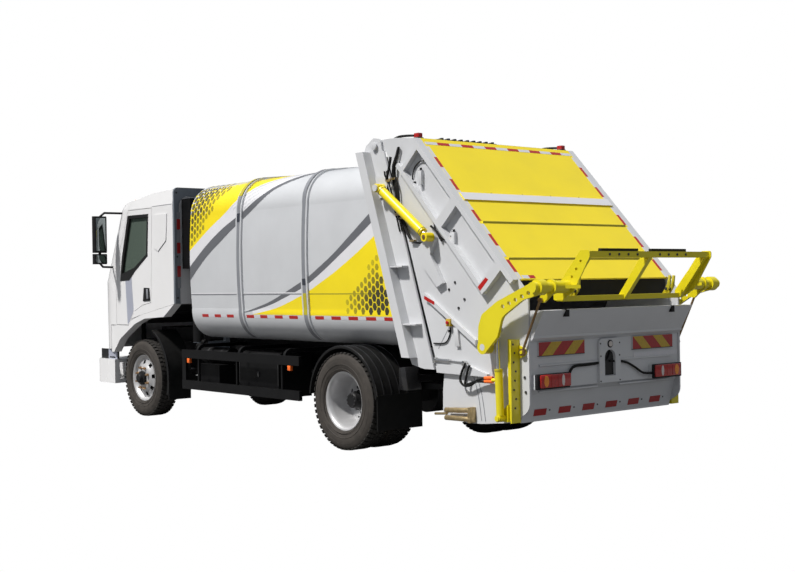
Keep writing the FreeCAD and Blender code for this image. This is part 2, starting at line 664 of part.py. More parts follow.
def tailgate_cover():
    """Roof and sloped rear skin between the side plates."""
    inside = SIDE_IN
    start = (seam_y(PORTAL_TOP - 10) + SEAM_GAP, PORTAL_TOP + 55)
    roof = [start, RIDGE_FRONT, RIDGE_REAR, along_slope(0, PANEL_T * 3), (RIDGE_FRONT[0], RIDGE_FRONT[1] - 36),
            (start[0], start[1] - 30)]
    top = plate_x(roof, -inside, inside)
    upper = plate_x([along_slope(0, 0), along_slope(COVER_L, 0), along_slope(COVER_L, 30), along_slope(0, 30)],
                    -inside, inside)
    bar = plate_x([along_slope(765, -12), along_slope(862, -12), along_slope(862, 40), along_slope(765, 40)],
                  -inside, inside)
    creases = []
    for distance in (1148, 1613):
        crease = [along_slope(distance, -10), along_slope(distance + 20, 5), along_slope(distance - 20, 5)]
        creases.append(plate_x(crease, -inside + 40, inside - 40))
    return fuse([top, upper, bar] + creases)


def hopper():
    """Round trough, sloped lip with its notches, and the flat rear wall."""
    y, z = TROUGH_C
    trough = ring_sector(y, z, TROUGH_R, TROUGH_R + PANEL_T, 180, 360, -SIDE_IN, SIDE_IN)
    lip = [(y + TROUGH_R, z), (y + TROUGH_R + PANEL_T, z), (LIP_LOW[0], LIP_LOW[1] - 20), LIP_LOW, LIP_TOP,
           (LIP_TOP[0] - 25, LIP_TOP[1] + 5), (LIP_LOW[0] - 30, LIP_LOW[1] + 10)]
    lip = plate_x(lip, -SIDE_IN, SIDE_IN)
    for side in (-1, 1):
        x = side * 745
        lip = lip.cut(box(x - 22, x + 22, LIP_TOP[0] - 80, LIP_TOP[0] + 30, LIP_TOP[1] - 60, LIP_TOP[1] + 30))
    wall = box(-SIDE_IN, SIDE_IN, y + TROUGH_R, y + TROUGH_R + PANEL_T, 738, z + 5)
    cheek = plate_x([(y + TROUGH_R, z), (y + TROUGH_R, LIP_TOP[1]), (LIP_TOP[0] - 20, LIP_TOP[1] + 3), LIP_TOP,
                     LIP_LOW], SIDE_IN - 10, SIDE_IN)
    return fuse([trough, lip, wall, cheek, mirrored(cheek)])


def tailgate_rear():
    """Bottom bar, lamp row, warning boards and the middle bracket plate."""
    bar = plate_x([(6795, 440), (6870, 700), (6850, 712), (6775, 450)], -SIDE_IN, SIDE_IN)
    face = TROUGH_C[0] + TROUGH_R + PANEL_T
    shelf = plate_x([(face - 12, 738), (6868, 690), (6855, 690), (face - 40, 738)], -SIDE_IN, SIDE_IN)
    web = box(-SIDE_IN, SIDE_IN, 6760, 6800, 445, 560)
    stand = face + 35
    parts = [bar, shelf, web]
    for side in (-1, 1):
        x0, x1 = sorted((side * 340, side * 945))
        parts.append(box(x0, x1, face, face + 14, 1026, 1148))
        x0, x1 = sorted((side * 590, side * 1020))
        parts.append(box(x0, x1, face, stand, 738, 867))
    plate = plate_y([(-150, 740), (-150, 1145, 40), (150, 1145, 40), (150, 740)], face, face + 25)
    arch = plate_y([(-75, 800), (-75, 1040, 70), (75, 1040, 70), (75, 800)], face - 5, face + 30)
    parts.append(plate.cut(arch))
    return fuse(parts)


def lifter_mount():
    """Upright channel beside the hopper that carries the lifter's cylinder and link."""
    y, z = CYL_FOOT
    web = box(SIDE_OUT, SIDE_OUT + 12, 6680, 6815, 450, 1175)
    rear = box(SIDE_OUT, ARM_X - 8, 6800, 6815, 450, 1175)
    foot = plate_x([(y - 35, z - 35, 20), (y - 35, z + 40), (6690, z + 120), (6690, z - 35)], SIDE_OUT,
                   CYL_X - CYL_EYE_W / 2 - 2)
    pin = rod((SIDE_OUT + 5, y, z), (CYL_X + CYL_EYE_W / 2 + 2, y, z), CYL_PIN_R)
    head = rod((CYL_X + CYL_EYE_W / 2 + 2, y, z), (CYL_X + CYL_EYE_W / 2 + 12, y, z), CYL_EYE_R - 8)
    y, z = LINK_LOW
    lug = plate_x([(6810, z - 60), (6810, z + 60), (y + 10, z + 35, 20), (y + 40, z, 20), (y + 10, z - 35, 20)],
                  SIDE_OUT, LINK_X - 16)
    link_pin = rod((SIDE_OUT + 4, y, z), (LINK_X + 18, y, z), LINK_R)
    return fuse([web, rear, foot, pin, head, lug, link_pin])


# Cylinders

def point_at(start, direction, distance):
    return (start[0] + direction[0] * distance, start[1] + direction[1] * distance)


def unit(start, end):
    length = math.hypot(end[0] - start[0], end[1] - start[1])
    return ((end[0] - start[0]) / length, (end[1] - start[1]) / length)


def cylinder_barrel(x, foot, top, length, radius, rod_r, eye_r, eye_w, pin_r):
    """Barrel with a bored eye at its foot and a bore for its rod."""
    way = unit(foot, top)
    start = point_at(foot, way, eye_r * 0.8)
    end = point_at(foot, way, length)
    barrel = rod((x, *start), (x, *end), radius)
    eye = rod((x - eye_w / 2, *foot), (x + eye_w / 2, *foot), eye_r)
    hole = rod((x - eye_w, *foot), (x + eye_w, *foot), pin_r + RUN_FIT)
    bore_start = point_at(foot, way, eye_r + 30)
    bore = rod((x, *bore_start), (x, *point_at(foot, way, length + 10)), rod_r + RUN_FIT)
    return fuse([barrel, eye]).cut(hole).cut(bore)


def cylinder_rod(x, foot, top, start, rod_r, eye_r, eye_w):
    """Rod that ends in its eye with its pin in place."""
    way = unit(foot, top)
    shaft = rod((x, *point_at(foot, way, start)), (x, *top), rod_r)
    eye = rod((x - eye_w / 2, *top), (x + eye_w / 2, *top), eye_r)
    return fuse([shaft, eye])


def lift_length():
    return math.hypot(LIFT_LOW[0] - LIFT_TOP[0], LIFT_LOW[1] - LIFT_TOP[1])


def lift_barrel():
    return cylinder_barrel(LIFT_X, LIFT_TOP, LIFT_LOW, lift_length() - 80, LIFT_BARREL_R, LIFT_ROD_R,
                           LIFT_EYE_R, LIFT_EYE_W, LIFT_PIN_R)


def lift_rod():
    start = lift_length() - LIFT_STROKE - 110
    return cylinder_rod(LIFT_X, LIFT_TOP, LIFT_LOW, start, LIFT_ROD_R, LIFT_EYE_R, LIFT_EYE_W)


def lifter_barrel():
    way = unit(CYL_FOOT, ARM_EYE)
    length = (CYL_BARREL_TOP - CYL_FOOT[1]) / way[1]
    return cylinder_barrel(CYL_X, CYL_FOOT, ARM_EYE, length, CYL_BARREL_R, CYL_ROD_R, CYL_EYE_R, CYL_EYE_W,
                           CYL_PIN_R)


def lifter_rod():
    return cylinder_rod(CYL_X, CYL_FOOT, ARM_EYE, 330, CYL_ROD_R, CYL_EYE_R, CYL_EYE_W)


# Lifter

def lifter_arm():
    """Bent arm plate from its pivot to the cross tube, with its row of holes."""
    y, z = ARM_PIVOT
    ty, tz = TUBE_C
    outline = [(y - 55, z - 20, 40), (y - 45, 1290, 120), (6500, 1395, 60), (6688, 1508, 200),
               (ty - 30, tz + 62, 60), (ty + 62, tz + 10, 50), (ty + 10, tz - 60, 40), (6998, 1521, 150),
               (6752, 1376, 120), (6692, 1200, 80), (y + 60, z - 25, 40)]
    arm = plate_x(outline, ARM_X, ARM_X + ARM_T)
    holes = []
    for share in (0.22, 0.36, 0.50, 0.64, 0.78):
        hy, hz = between((6640, 1420), (ty, tz - 5), share)
        holes.append(rod((ARM_X - 5, hy, hz), (ARM_X + ARM_T + 5, hy, hz), 20))
    hub = rod((ARM_X - 58, y, z), (ARM_X + ARM_T, y, z), ARM_BOSS_R)
    end = rod((ARM_X - 25, ty, tz), (ARM_X + ARM_T + 30, ty, tz), TUBE_R + 22)
    bore = rod((ARM_X - 70, y, z), (ARM_X + ARM_T + 5, y, z), ARM_PIN_R + RUN_FIT)
    return fuse([arm, hub, end]).cut(fuse(holes)).cut(bore)


def lifter_arms():
    """Both arms with the stub tubes that the bin frame turns on."""
    arm = fuse([lifter_arm(), rod((TUBE_START_X, *TUBE_C), (TUBE_END_X, *TUBE_C), TUBE_R)])
    return both(arm)


def lifter_link():
    """Round link rod with an eye at its lower pin."""
    width = 24.0
    eye = rod((LINK_X - 12, *LINK_LOW), (LINK_X + 12, *LINK_LOW), 30)
    hole = rod((LINK_X - width, *LINK_LOW), (LINK_X + width, *LINK_LOW), LINK_R + RUN_FIT)
    top = rod((LINK_X - 12, *LINK_TOP), (LINK_X + 12, *LINK_TOP), 20)
    bar = rod((LINK_X, *LINK_LOW), (LINK_X, *LINK_TOP), 11)
    return fuse([eye, top, bar]).cut(hole)


def grab_frame():
    """Bin frame between two pierced brackets that turn on the arms' stub tubes."""
    ty, tz = TUBE_C
    half = GRAB_X
    low = plate_x([(7060, 1502), (7060, 1548), (7125, 1548), (7125, 1502)], -half, half)
    high = plate_x([(7360, 1876), (7360, 1930), (7430, 1930), (7430, 1876)], -half, half)
    parts = [low, high]
    for x in (-half, -25, half - 50):
        post = [(7060, 1502), (7125, 1502), (7430, 1890), (7430, 1930), (7360, 1930), (7060, 1537)]
        parts.append(plate_x(post, x, x + 50))
    frame = fuse(parts)
    outline = [(7035, 1512, 15), (7135, 1512, 15), (ty + 75, tz - 40, 40), (REAR_TIP, 1880, 20), (REAR_TIP, 1938, 20),
               (7350, 1938, 20), (ty - 60, tz + 60, 60), (7035, 1572, 15)]
    bracket = plate_x(outline, half, half + 12)
    holes = [rod((half - 5, *between((7110, 1530), (7390, 1895), share)),
                 (half + 20, *between((7110, 1530), (7390, 1895), share)), 14) for share in (0.5, 0.68, 0.86)]
    sleeve = rod((half, ty, tz), (LINK_X - 25, ty, tz), TUBE_R + 10)
    gusset = plate_z([(half + 5, ty - 8), (half + 150, ty - 8), (half + 5, ty + 150)], tz - 15, tz + 15)
    lever_in = LINK_X - 45
    lever_clamp = rod((lever_in, ty, tz), (LINK_X - 20, ty, tz), TUBE_R + 22)
    ly, lz = LINK_TOP
    lever = plate_x([(ly - 20, lz - 20, 15), (ly - 25, lz + 20, 15), (ty - 30, tz + 50), (ty + 30, tz - 50),
                     (ly + 20, lz - 25, 15)], lever_in, LINK_X - 20)
    side = fuse([bracket.cut(fuse(holes)), sleeve, gusset, lever_clamp, lever])
    side = side.cut(rod((TUBE_START_X - 4, ty, tz), (TUBE_END_X, ty, tz), TUBE_R + RUN_FIT))
    return fuse([frame, side, mirrored(side)])


# Packer

def carriage():
    """Sliding plate below the sloped skin that carries the packing blade."""
    y, z = BLADE_HINGE
    start = along_slope(180, 110)
    back = along_slope(180, 190)
    outline = [start, along_slope(900, 110), (y + 70, z + 30), (y + 30, z + 48), along_slope(760, 190), back]
    plate = plate_x(outline, -PACKER_X, PACKER_X)
    lugs = []
    for x in (-800, -260, 220, 760):
        lug = [(y - 38, z - 38, 30), (y - 40, z + 60), (y + 50, z + 90), (y + 42, z - 38, 30)]
        lugs.append(plate_x(lug, x, x + 40))
    shoe = plate_x([along_slope(200, 120), along_slope(700, 120), along_slope(700, 180), along_slope(200, 180)],
                   PACKER_X - 5, SIDE_IN - RUN_FIT)
    bore = rod((-1100, y, z), (1100, y, z), 25 + RUN_FIT)
    return fuse([plate, shoe, mirrored(shoe)] + lugs).cut(bore)


def packer_blade():
    """Curved packing blade on its hinge shaft."""
    y, z = BLADE_HINGE
    shaft = rod((-PACKER_X, y, z), (PACKER_X, y, z), 25)
    away = math.radians(-112)
    tip = (y + BLADE_L * math.cos(away), z + BLADE_L * math.sin(away))
    side = (-math.sin(away) * 30, math.cos(away) * 30)
    top = (y + 60 * math.cos(away), z + 60 * math.sin(away))
    sheet = [(top[0] - side[0], top[1] - side[1]), (top[0] + side[0], top[1] + side[1]),
             (tip[0] + side[0], tip[1] + side[1]), (tip[0] - side[0], tip[1] - side[1])]
    plate = plate_x(sheet, -PACKER_X, PACKER_X)
    arms = []
    for x in (-740, -200, 140, 700):
        arm = [(y - 25, z + 20, 15), (y + 25, z + 20, 15), (top[0] + 30, top[1] - 30), (top[0] - 30, top[1] - 20)]
        arms.append(plate_x(arm, x, x + 50))
    return fuse([shaft, plate] + arms)


# Cab

def cab_plan(z, front, corner, inset):
    """Plan outline at height z: flat sides that sweep in to a bowed front."""
    half = CAB_X - inset
    back = CAB_REAR - inset
    nose = front + inset
    turn = corner
    edges = [
        Part.LineSegment(V(-half, back, z), V(half, back, z)),
        Part.LineSegment(V(half, back, z), V(half, turn, z)),
        Part.Arc(V(half, turn, z), V(half - 95, turn + (nose - turn) * 0.62, z), V(half - 330, nose + 70, z)),
        Part.Arc(V(half - 330, nose + 70, z), V(0, nose, z), V(-half + 330, nose + 70, z)),
        Part.Arc(V(-half + 330, nose + 70, z), V(-half + 95, turn + (nose - turn) * 0.62, z), V(-half, turn, z)),
        Part.LineSegment(V(-half, turn, z), V(-half, back, z)),
    ]
    return Part.Wire([edge.toShape() for edge in edges])


CAB_LEVELS = ((860.0, -1190.0, -560.0), (1750.0, -1215.0, -560.0), (2700.0, -730.0, -140.0))


def cab_solid(inset, cap):
    levels = [cab_plan(z, front, corner, inset) for z, front, corner in CAB_LEVELS]
    body = Part.makeLoft(levels, True, True)
    top = CAB_LEVELS[-1]
    back = CAB_REAR - inset
    roof = [(back, top[0]), (back, 2888 - cap), (450, 2870 - cap), (-150, 2790 - cap), (-520, 2730 - cap / 2),
            (top[1] + inset, top[0])]
    cap_solid = Part.makeLoft([cab_plan(top[0], top[1], top[2], inset),
                               cab_plan(2888, top[1] + 200, top[2] + 150, inset + 25)], True, True)
    return body.fuse(cap_solid.common(plate_x(roof, -1300, 1300)))


def door_outline(grow):
    points = [(-545, 1190), (-545, 1890), (-170, 2680), (440, 2680), (385, 1485), (160, 1450), (-60, 1370),
              (-215, 1190)]
    outline = wire(points, lambda p: V(900, p.x, p.y))
    return outline if grow == 0 else outline.makeOffset2D(grow, 2)


def door_block(grow):
    return Part.Face(door_outline(grow)).extrude(V(350, 0, 0))


def cab_floor():
    """Floor sheet that steps up over the engine and the wheels."""
    back = CAB_REAR - CAB_WALL
    sheet = plate_x([(-1130, 1190), (-1130, 1240), (-480, 1240), (-160, 1355), (150, 1385), (back, 1520),
                     (back, 1480), (150, 1340), (-150, 1310), (-470, 1190)], -CAB_X, CAB_X)
    y, z = TILT_PIVOT
    leg = plate_x([(y - 35, z - 35, 30), (y - 32, z + 22, 25), (y + 45, z + 90), (y + 45, 1200), (y + 110, 1200),
                   (y + 110, z + 80), (y + 35, z - 35, 30)], 432, 467)
    hole = rod((420, y, z), (480, y, z), TILT_PIN_R + RUN_FIT)
    leg = leg.cut(hole)
    return fuse([sheet.common(cab_solid(CAB_WALL + 0.3, CAB_WALL)), leg, mirrored(leg)])


def cab_parts():
    """Cab panels cut from one hollow form along the real seams."""
    shell = cab_solid(0, 0).cut(cab_solid(CAB_WALL, CAB_WALL))
    lower_cut = plate_x([(SHELL_LOW_REAR, 800), (SHELL_LOW_REAR, 1184), (-225, 1184), (-150, 1270), (150, 1330),
                         (CAB_REAR + 20, 1470), (CAB_REAR + 20, 800)], -1300, 1300)
    shell = shell.cut(lower_cut)
    opening = door_block(DOOR_GAP)
    screen = plate_y([(-960, 1830, 60), (-900, 2620, 80), (900, 2620, 80), (960, 1830, 60)], -1500, -200)
    roof_zone = box(-1300, 1300, -1500, 1200, CAB_ROOF_SPLIT, 3000)
    wall_zone = box(-1300, 1300, -1500, 1200, 800, CAB_ROOF_SPLIT)
    back_zone = box(-1300, 1300, CAB_REAR - CAB_WALL, 1200, 800, CAB_ROOF_SPLIT)
    front_zone = plate_x([(-1500, 700), (-545, 700), (-545, 1890), (-160, CAB_ROOF_SPLIT),
                          (-1500, CAB_ROOF_SPLIT)], -1300, 1300)
    walls = shell.common(wall_zone)
    sides = walls.cut(back_zone).cut(front_zone).cut(opening).cut(mirrored(opening))
    front = walls.common(front_zone).cut(opening).cut(mirrored(opening)).cut(screen)
    blind = plate_x([(500, 2170), (500, 2590, 20), (830, 2590, 20), (800, 2260), (600, 2130)], CAB_X - 8, CAB_X + 10)
    sides = sides.cut(blind).cut(mirrored(blind))
    window = plate_x([(-385, 1845), (-335, 2050), (-155, 2590, 30), (335, 2590, 30), (300, 2087, 40),
                      (-39, 1915, 40)], 900, 1300)
    door = shell.common(door_block(0)).cut(window)
    return {
        "cab_roof": shell.common(roof_zone),
        "cab_back": shell.common(back_zone),
        "cab_front": front,
        "cab_sides": sides,
        "cab_floor": cab_floor(),
        "door_left": door,
        "door_right": mirrored(door),
    }


def cab_fenders():
    """Wheel arches and step panels below the doors."""
    front = SHELL_LOW_REAR + 2
    band = [(CAB_REAR - 5, 1462), (700, 1302), (207, 1276), (-60, 1200, 150), (-460, 1000, 300),
            (-640, 820), (front, 820), (front, 1182), (-222, 1182), (-148, 1256), (150, 1328)]
    arch = plate_x(band, 1010, CAB_X)
    return both(arch)


def cab_interior():
    """Seats, bench and dashboard."""
    dash = plate_x([(-1020, 1240), (-1020, 1700), (-760, 1790, 60), (-620, 1700, 60), (-700, 1500),
                    (-820, 1240)], -1000, 1000)
    floor = cab_floor()
    dash = dash.common(cab_solid(CAB_WALL + 0.3, CAB_WALL)).cut(floor)
    lean = math.radians(WHEEL_LEAN)
    way = V(0, math.sin(lean), math.cos(lean))
    hub = V(*WHEEL_HUB)
    column = Part.makeCylinder(35, 270, hub - way * 290.5, way)
    solids = [fuse([dash, column])]
    for x in (-520, 520):
        base = box(x - 180, x + 180, -140, 260, 1340, 1560).cut(floor)
        seat = plate_x([(-260, 1560, 40), (-260, 1680, 60), (220, 1660), (300, 2180, 50), (410, 2180, 50),
                        (320, 1560, 40)], x - 250, x + 250)
        head = box(x - 130, x + 130, 330, 420, 2200, 2380)
        neck = box(x - 60, x + 60, 350, 390, 2150, 2220)
        solids.append(fuse([base, seat, neck, head]))
    return Part.makeCompound(solids)


def steering_wheel():
    section = [V(215 + 18 * math.cos(a), 0, 18 * math.sin(a)) for a in (math.pi * (k + 0.5) / 4 for k in range(8))]
    ring = Part.Face(Part.makePolygon(section + section[:1])).revolve(V(0, 0, 0), V(0, 0, 1), 360)
    hub = Part.makeCylinder(45, 40, V(0, 0, -20), V(0, 0, 1))
    spokes = [box(-205, 205, -18, 18, -8, 8), box(-18, 18, -205, 0, -8, 8)]
    wheel = fuse([ring, hub] + spokes)
    wheel.rotate(V(0, 0, 0), V(1, 0, 0), -WHEEL_LEAN)
    wheel.translate(V(*WHEEL_HUB))
    return wheel


def mirror_set():
    """Mirror head on its two bent arms."""
    upper = [rod((1060, -330, 2655), (1300, -500, 2665), 14), rod((1300, -500, 2665), (1370, -530, 2600), 14)]
    lower = [rod((1060, -650, 1950), (1300, -560, 1955), 14), rod((1300, -560, 1955), (1370, -540, 2020), 14)]
    case = [(1262, -575, 30), (1452, -575, 30), (1452, -495, 30), (1262, -495, 30)]
    head = plate_z(case, 2140, 2620)
    wide = plate_z(case, 1990, 2125)
    spine = box(1340, 1370, -545, -525, 1995, 2615)
    knees = [Part.makeSphere(14, V(1300, -500, 2665)), Part.makeSphere(14, V(1300, -560, 1955))]
    return fuse([head, wide, spine] + upper + lower + knees).cut(cab_solid(0, 0))


def mirrors():
    return both(mirror_set())


def model():
    nodes = {
        "frame_rails": frame_rails(),
        "cross_members": cross_members(),
        "axles": axles(),
        "leaf_springs": leaf_springs(),
        "driveline": driveline(),
        "tanks": tanks(),
        "side_guards": side_guards(),
        "bumper": bumper(),
        "bumper_corners": bumper_corners(),
        "front_mudguards": front_mudguards(),
        "rear_mudguards": rear_mudguards(),
        "portal": portal(),
        "intake": intake(),
        "tailgate_sides": tailgate_sides(),
        "tailgate_cover": tailgate_cover(),
        "hopper": hopper(),
        "tailgate_rear": tailgate_rear(),
        "lifter_mounts": both(lifter_mount()),
        "lifter_arms": lifter_arms(),
        "grab_frame": grab_frame(),
        "carriage": carriage(),
        "packer_blade": packer_blade(),
        "cab_fenders": cab_fenders(),
        "cab_interior": cab_interior(),
        "steering_wheel": steering_wheel(),
        "mirrors": mirrors(),
    }
    nodes.update(body_parts())
    nodes.update(cab_parts())
    pairs = {
        "front_tyre": front_tyre(),
        "front_rim": front_rim(),
        "rear_tyres": rear_tyres(),
        "rear_rim": rear_rim(),
        "knuckle": knuckle(),
        "lift_barrel": lift_barrel(),
        "lift_rod": lift_rod(),
        "lifter_barrel": lifter_barrel(),
        "lifter_rod": lifter_rod(),
        "lifter_link": lifter_link(),
    }
    for name, shape in pairs.items():
        nodes[name + "_left"] = shape
        nodes[name + "_right"] = mirrored(shape)
    return nodes


def main():
    os.makedirs("parts", exist_ok=True)
    for name, shape in model().items():
        placed = shape.copy()
        placed.translate(V(0, -MID_Y, 0))
        placed.exportStep("parts/" + name + ".step")


main()
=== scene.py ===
import bisect
import bmesh
import bpy
from math import atan2, ceil, cos, hypot, pi, radians, sin, sqrt
from mathutils import Matrix, Vector


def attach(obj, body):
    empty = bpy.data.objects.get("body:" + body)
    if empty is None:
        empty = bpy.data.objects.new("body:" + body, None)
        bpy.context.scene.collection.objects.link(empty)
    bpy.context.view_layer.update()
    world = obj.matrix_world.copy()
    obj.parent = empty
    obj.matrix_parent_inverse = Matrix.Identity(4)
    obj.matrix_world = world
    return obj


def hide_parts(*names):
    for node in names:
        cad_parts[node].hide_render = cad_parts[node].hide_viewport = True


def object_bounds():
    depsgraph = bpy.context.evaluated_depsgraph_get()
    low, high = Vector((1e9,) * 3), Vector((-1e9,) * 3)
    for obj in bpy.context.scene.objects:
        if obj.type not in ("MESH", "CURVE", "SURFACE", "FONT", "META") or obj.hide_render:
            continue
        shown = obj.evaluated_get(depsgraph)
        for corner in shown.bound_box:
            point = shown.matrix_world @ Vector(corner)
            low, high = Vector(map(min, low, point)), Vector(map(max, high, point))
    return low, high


# Looks of the rear-loading refuse truck. Lengths are in metres.
# Y counts from the front axle in this file, and MID moves it to the frame's own origin.

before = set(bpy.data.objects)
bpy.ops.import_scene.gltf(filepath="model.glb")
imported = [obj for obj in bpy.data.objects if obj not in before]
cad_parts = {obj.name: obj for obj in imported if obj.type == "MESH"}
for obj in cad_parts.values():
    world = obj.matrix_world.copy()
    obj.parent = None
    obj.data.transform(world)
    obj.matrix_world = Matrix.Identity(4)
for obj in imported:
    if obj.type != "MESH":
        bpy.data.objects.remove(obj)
cad_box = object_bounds()
BUMPER_REACH = 1.28
MID = round(cad_box[1][1] - BUMPER_REACH, 4)
REAR_AXLE = 4.5
# The left side's x values are positive; s is a side's sign throughout
SIDES = ((1, "left"), (-1, "right"))


def at(x, y, z):
    return Vector((x, y - MID, z))


# Materials

def fill(node, **values):
    """Sets a node's inputs; an underscore stands for a space in an input's name."""
    for key, value in values.items():
        node.inputs[key.replace("_", " ")].default_value = value
    return node


def add_node(tree, kind, **values):
    return fill(tree.nodes.new("ShaderNode" + kind), **values)


def add_ramp(tree, *stops):
    ramp = add_node(tree, "ValToRGB")
    for element, (position, color) in zip(ramp.color_ramp.elements, stops):
        element.position = position
        element.color = (*color, 1)
    return ramp


def link(tree, source, output, target, entry):
    tree.links.new(source.outputs[output], target.inputs[entry])


def mixed(tree, share, share_output, first, second, out):
    """Sends a mix of two shaders to the output node."""
    mix = add_node(tree, "MixShader")
    link(tree, share, share_output, mix, "Fac")
    tree.links.new(first.outputs[0], mix.inputs[1])
    tree.links.new(second.outputs[0], mix.inputs[2])
    link(tree, mix, "Shader", tree.nodes[out], "Surface")


def new_material(name):
    mat = bpy.data.materials.new(name)
    mat.use_nodes = True
    return mat, mat.node_tree, mat.node_tree.nodes["Principled BSDF"]


def principled(name, color, rough, metal=0.0, coat=0.0, spread=0.06, scale=9.0, bump=0.0, bump_scale=60.0,
               rough_spread=0.08):
    """Paint, rubber or metal whose colour and roughness drift a little over the piece."""
    mat, tree, shader = new_material(name)
    place = add_node(tree, "TexCoord")
    noise = add_node(tree, "TexNoise", Scale=scale, Detail=4.0)
    link(tree, place, "Object", noise, "Vector")
    low = [max(0.0, c * (1 - spread)) for c in color]
    high = [min(1.0, c * (1 + spread)) for c in color]
    ramp = add_ramp(tree, (0.3, low), (0.7, high))
    link(tree, noise, "Fac", ramp, "Fac")
    link(tree, ramp, "Color", shader, "Base Color")
    span = add_node(tree, "MapRange", To_Min=max(0.02, rough - rough_spread),
                    To_Max=min(1.0, rough + rough_spread))
    link(tree, noise, "Fac", span, "Value")
    link(tree, span, "Result", shader, "Roughness")
    fill(shader, Metallic=metal, Coat_Weight=coat, Coat_Roughness=0.08)
    if bump:
        grain = add_node(tree, "TexNoise", Scale=bump_scale)
        link(tree, place, "Object", grain, "Vector")
        lift = add_node(tree, "Bump", Strength=bump, Distance=0.002)
        link(tree, grain, "Fac", lift, "Height")
        link(tree, lift, "Normal", shader, "Normal")
    return mat


# Name, colour, roughness, metal, coat, colour spread, noise scale, bump, bump scale, roughness spread
LOOKS = {
    "silver": ("silver_paint", (0.6, 0.615, 0.64), 0.34, 0.1, 0.35, 0.03, 3.0),
    "pale": ("pale_grey_paint", (0.58, 0.59, 0.61), 0.4, 0.0, 0.2, 0.03, 3.0),
    "white": ("cab_white_paint", (0.8, 0.8, 0.81), 0.25, 0.0, 0.5, 0.02, 3.0),
    "yellow": ("yellow_paint", (0.88, 0.7, 0.008), 0.36, 0.0, 0.15, 0.03, 3.0),
    "lift_yellow": ("lifter_yellow", (0.7, 0.6, 0.01), 0.36, 0.0, 0.2, 0.04, 3.0),
    "yellow_dark": ("olive_yellow_paint", (0.46, 0.4, 0.02), 0.4, 0.0, 0.2, 0.05, 3.0),
    "grey": ("swoosh_grey", (0.135, 0.14, 0.155), 0.35, 0.1, 0.3, 0.04, 4.0),
    "hoop_grey": ("hoop_grey", (0.235, 0.245, 0.27), 0.4, 0.05, 0.2, 0.05, 5.0),
    "navy": ("deep_blue_grey", (0.035, 0.04, 0.055), 0.4, 0.05, 0.2, 0.05, 5.0),
    "margin": ("pale_margin", (0.74, 0.74, 0.77), 0.34, 0.05, 0.3, 0.02, 3.0),
    "panel": ("grey_panel", (0.15, 0.172, 0.2), 0.45, 0.0, 0.15, 0.08, 6.0),
    "black": ("chassis_black", (0.004, 0.004, 0.0045), 0.5, 0.0, 0.05, 0.25, 7.0),
    "plastic": ("black_plastic", (0.014, 0.014, 0.015), 0.5, 0.0, 0.0, 0.2, 10.0, 0.12, 140.0),
    "rubber": ("black_rubber", (0.008, 0.008, 0.008), 0.6, 0.0, 0.0, 0.3, 12.0, 0.2, 90.0),
    "tyre": ("tyre_rubber", (0.04, 0.034, 0.029), 0.8, 0.0, 0.0, 0.25, 14.0, 0.25, 110.0),
    "tread": ("tread_rubber", (0.022, 0.02, 0.018), 0.78, 0.0, 0.0, 0.3, 20.0, 0.25, 110.0),
    "rim": ("rim_silver", (0.5, 0.5, 0.51), 0.46, 0.4, 0.0, 0.06, 14.0),
    "chrome": ("bright_steel", (0.72, 0.72, 0.72), 0.16, 1.0, 0.0, 0.04, 14.0, 0.0, 60.0, 0.04),
    "zinc": ("zinc_gold", (0.5, 0.38, 0.2), 0.35, 0.8, 0.0, 0.2, 30.0),
    "brass": ("brown_brass", (0.24, 0.15, 0.07), 0.4, 0.6, 0.0, 0.2, 18.0),
    "nut": ("gold_nuts", (0.55, 0.36, 0.2), 0.3, 0.85, 0.0, 0.15, 40.0),
    "steel": ("dark_steel", (0.04, 0.04, 0.042), 0.55, 0.3, 0.0, 0.3, 12.0, 0.1, 80.0),
    "red": ("red_tape", (0.44, 0.008, 0.006), 0.32, 0.0, 0.3, 0.12, 60.0),
    "tape_white": ("white_tape", (0.62, 0.62, 0.66), 0.4, 0.0, 0.2, 0.04, 60.0),
    "board_red": ("board_red", (0.36, 0.012, 0.014), 0.35, 0.0, 0.3, 0.12, 60.0),
    "board_yellow": ("board_yellow", (0.5, 0.33, 0.02), 0.35, 0.0, 0.3, 0.1, 60.0),
    "amber": ("amber_lens", (0.82, 0.26, 0.01), 0.25, 0.0, 0.5, 0.08, 60.0),
    "lamp_red": ("red_lens", (0.4, 0.01, 0.008), 0.2, 0.0, 0.6, 0.15, 60.0),
    "lamp_clear": ("clear_lens", (0.6, 0.55, 0.53), 0.15, 0.0, 0.6, 0.05, 60.0),
    "orange": ("orange_sleeve", (0.9, 0.16, 0.02), 0.5),
    "seal": ("window_rubber", (0.006, 0.006, 0.006), 0.45),
    "stripe": ("pale_blue_stripe", (0.37, 0.39, 0.47), 0.35, 0.0, 0.4, 0.03, 6.0),
    "gloss": ("gloss_black", (0.014, 0.014, 0.015), 0.24, 0.0, 0.6, 0.2, 10.0),
    "mirror": ("mirror_glass", (0.25, 0.28, 0.28), 0.06, 1.0, 0.0, 0.02, 3.0, 0.0, 60.0, 0.02),
}
MATERIALS = {look: principled(*values) for look, values in LOOKS.items()}


def glass_material():
    """Green tinted glass: clear from the front, shiny at a flat angle."""
    mat, tree, shader = new_material("window_glass")
    fill(shader, Base_Color=(0.16, 0.21, 0.175, 1), Roughness=0.06)
    clear = add_node(tree, "BsdfTransparent", Color=(0.66, 0.74, 0.68, 1))
    view = add_node(tree, "Fresnel", IOR=1.5)
    span = add_node(tree, "MapRange", To_Min=0.45, To_Max=1.0)
    link(tree, view, "Fac", span, "Value")
    mixed(tree, span, "Result", clear, shader, "Material Output")
    return mat


MATERIALS["glass"] = glass_material()
for dull in ("black", "rubber", "plastic"):
    fill(MATERIALS[dull].node_tree.nodes["Principled BSDF"], Specular_IOR_Level=0.2)

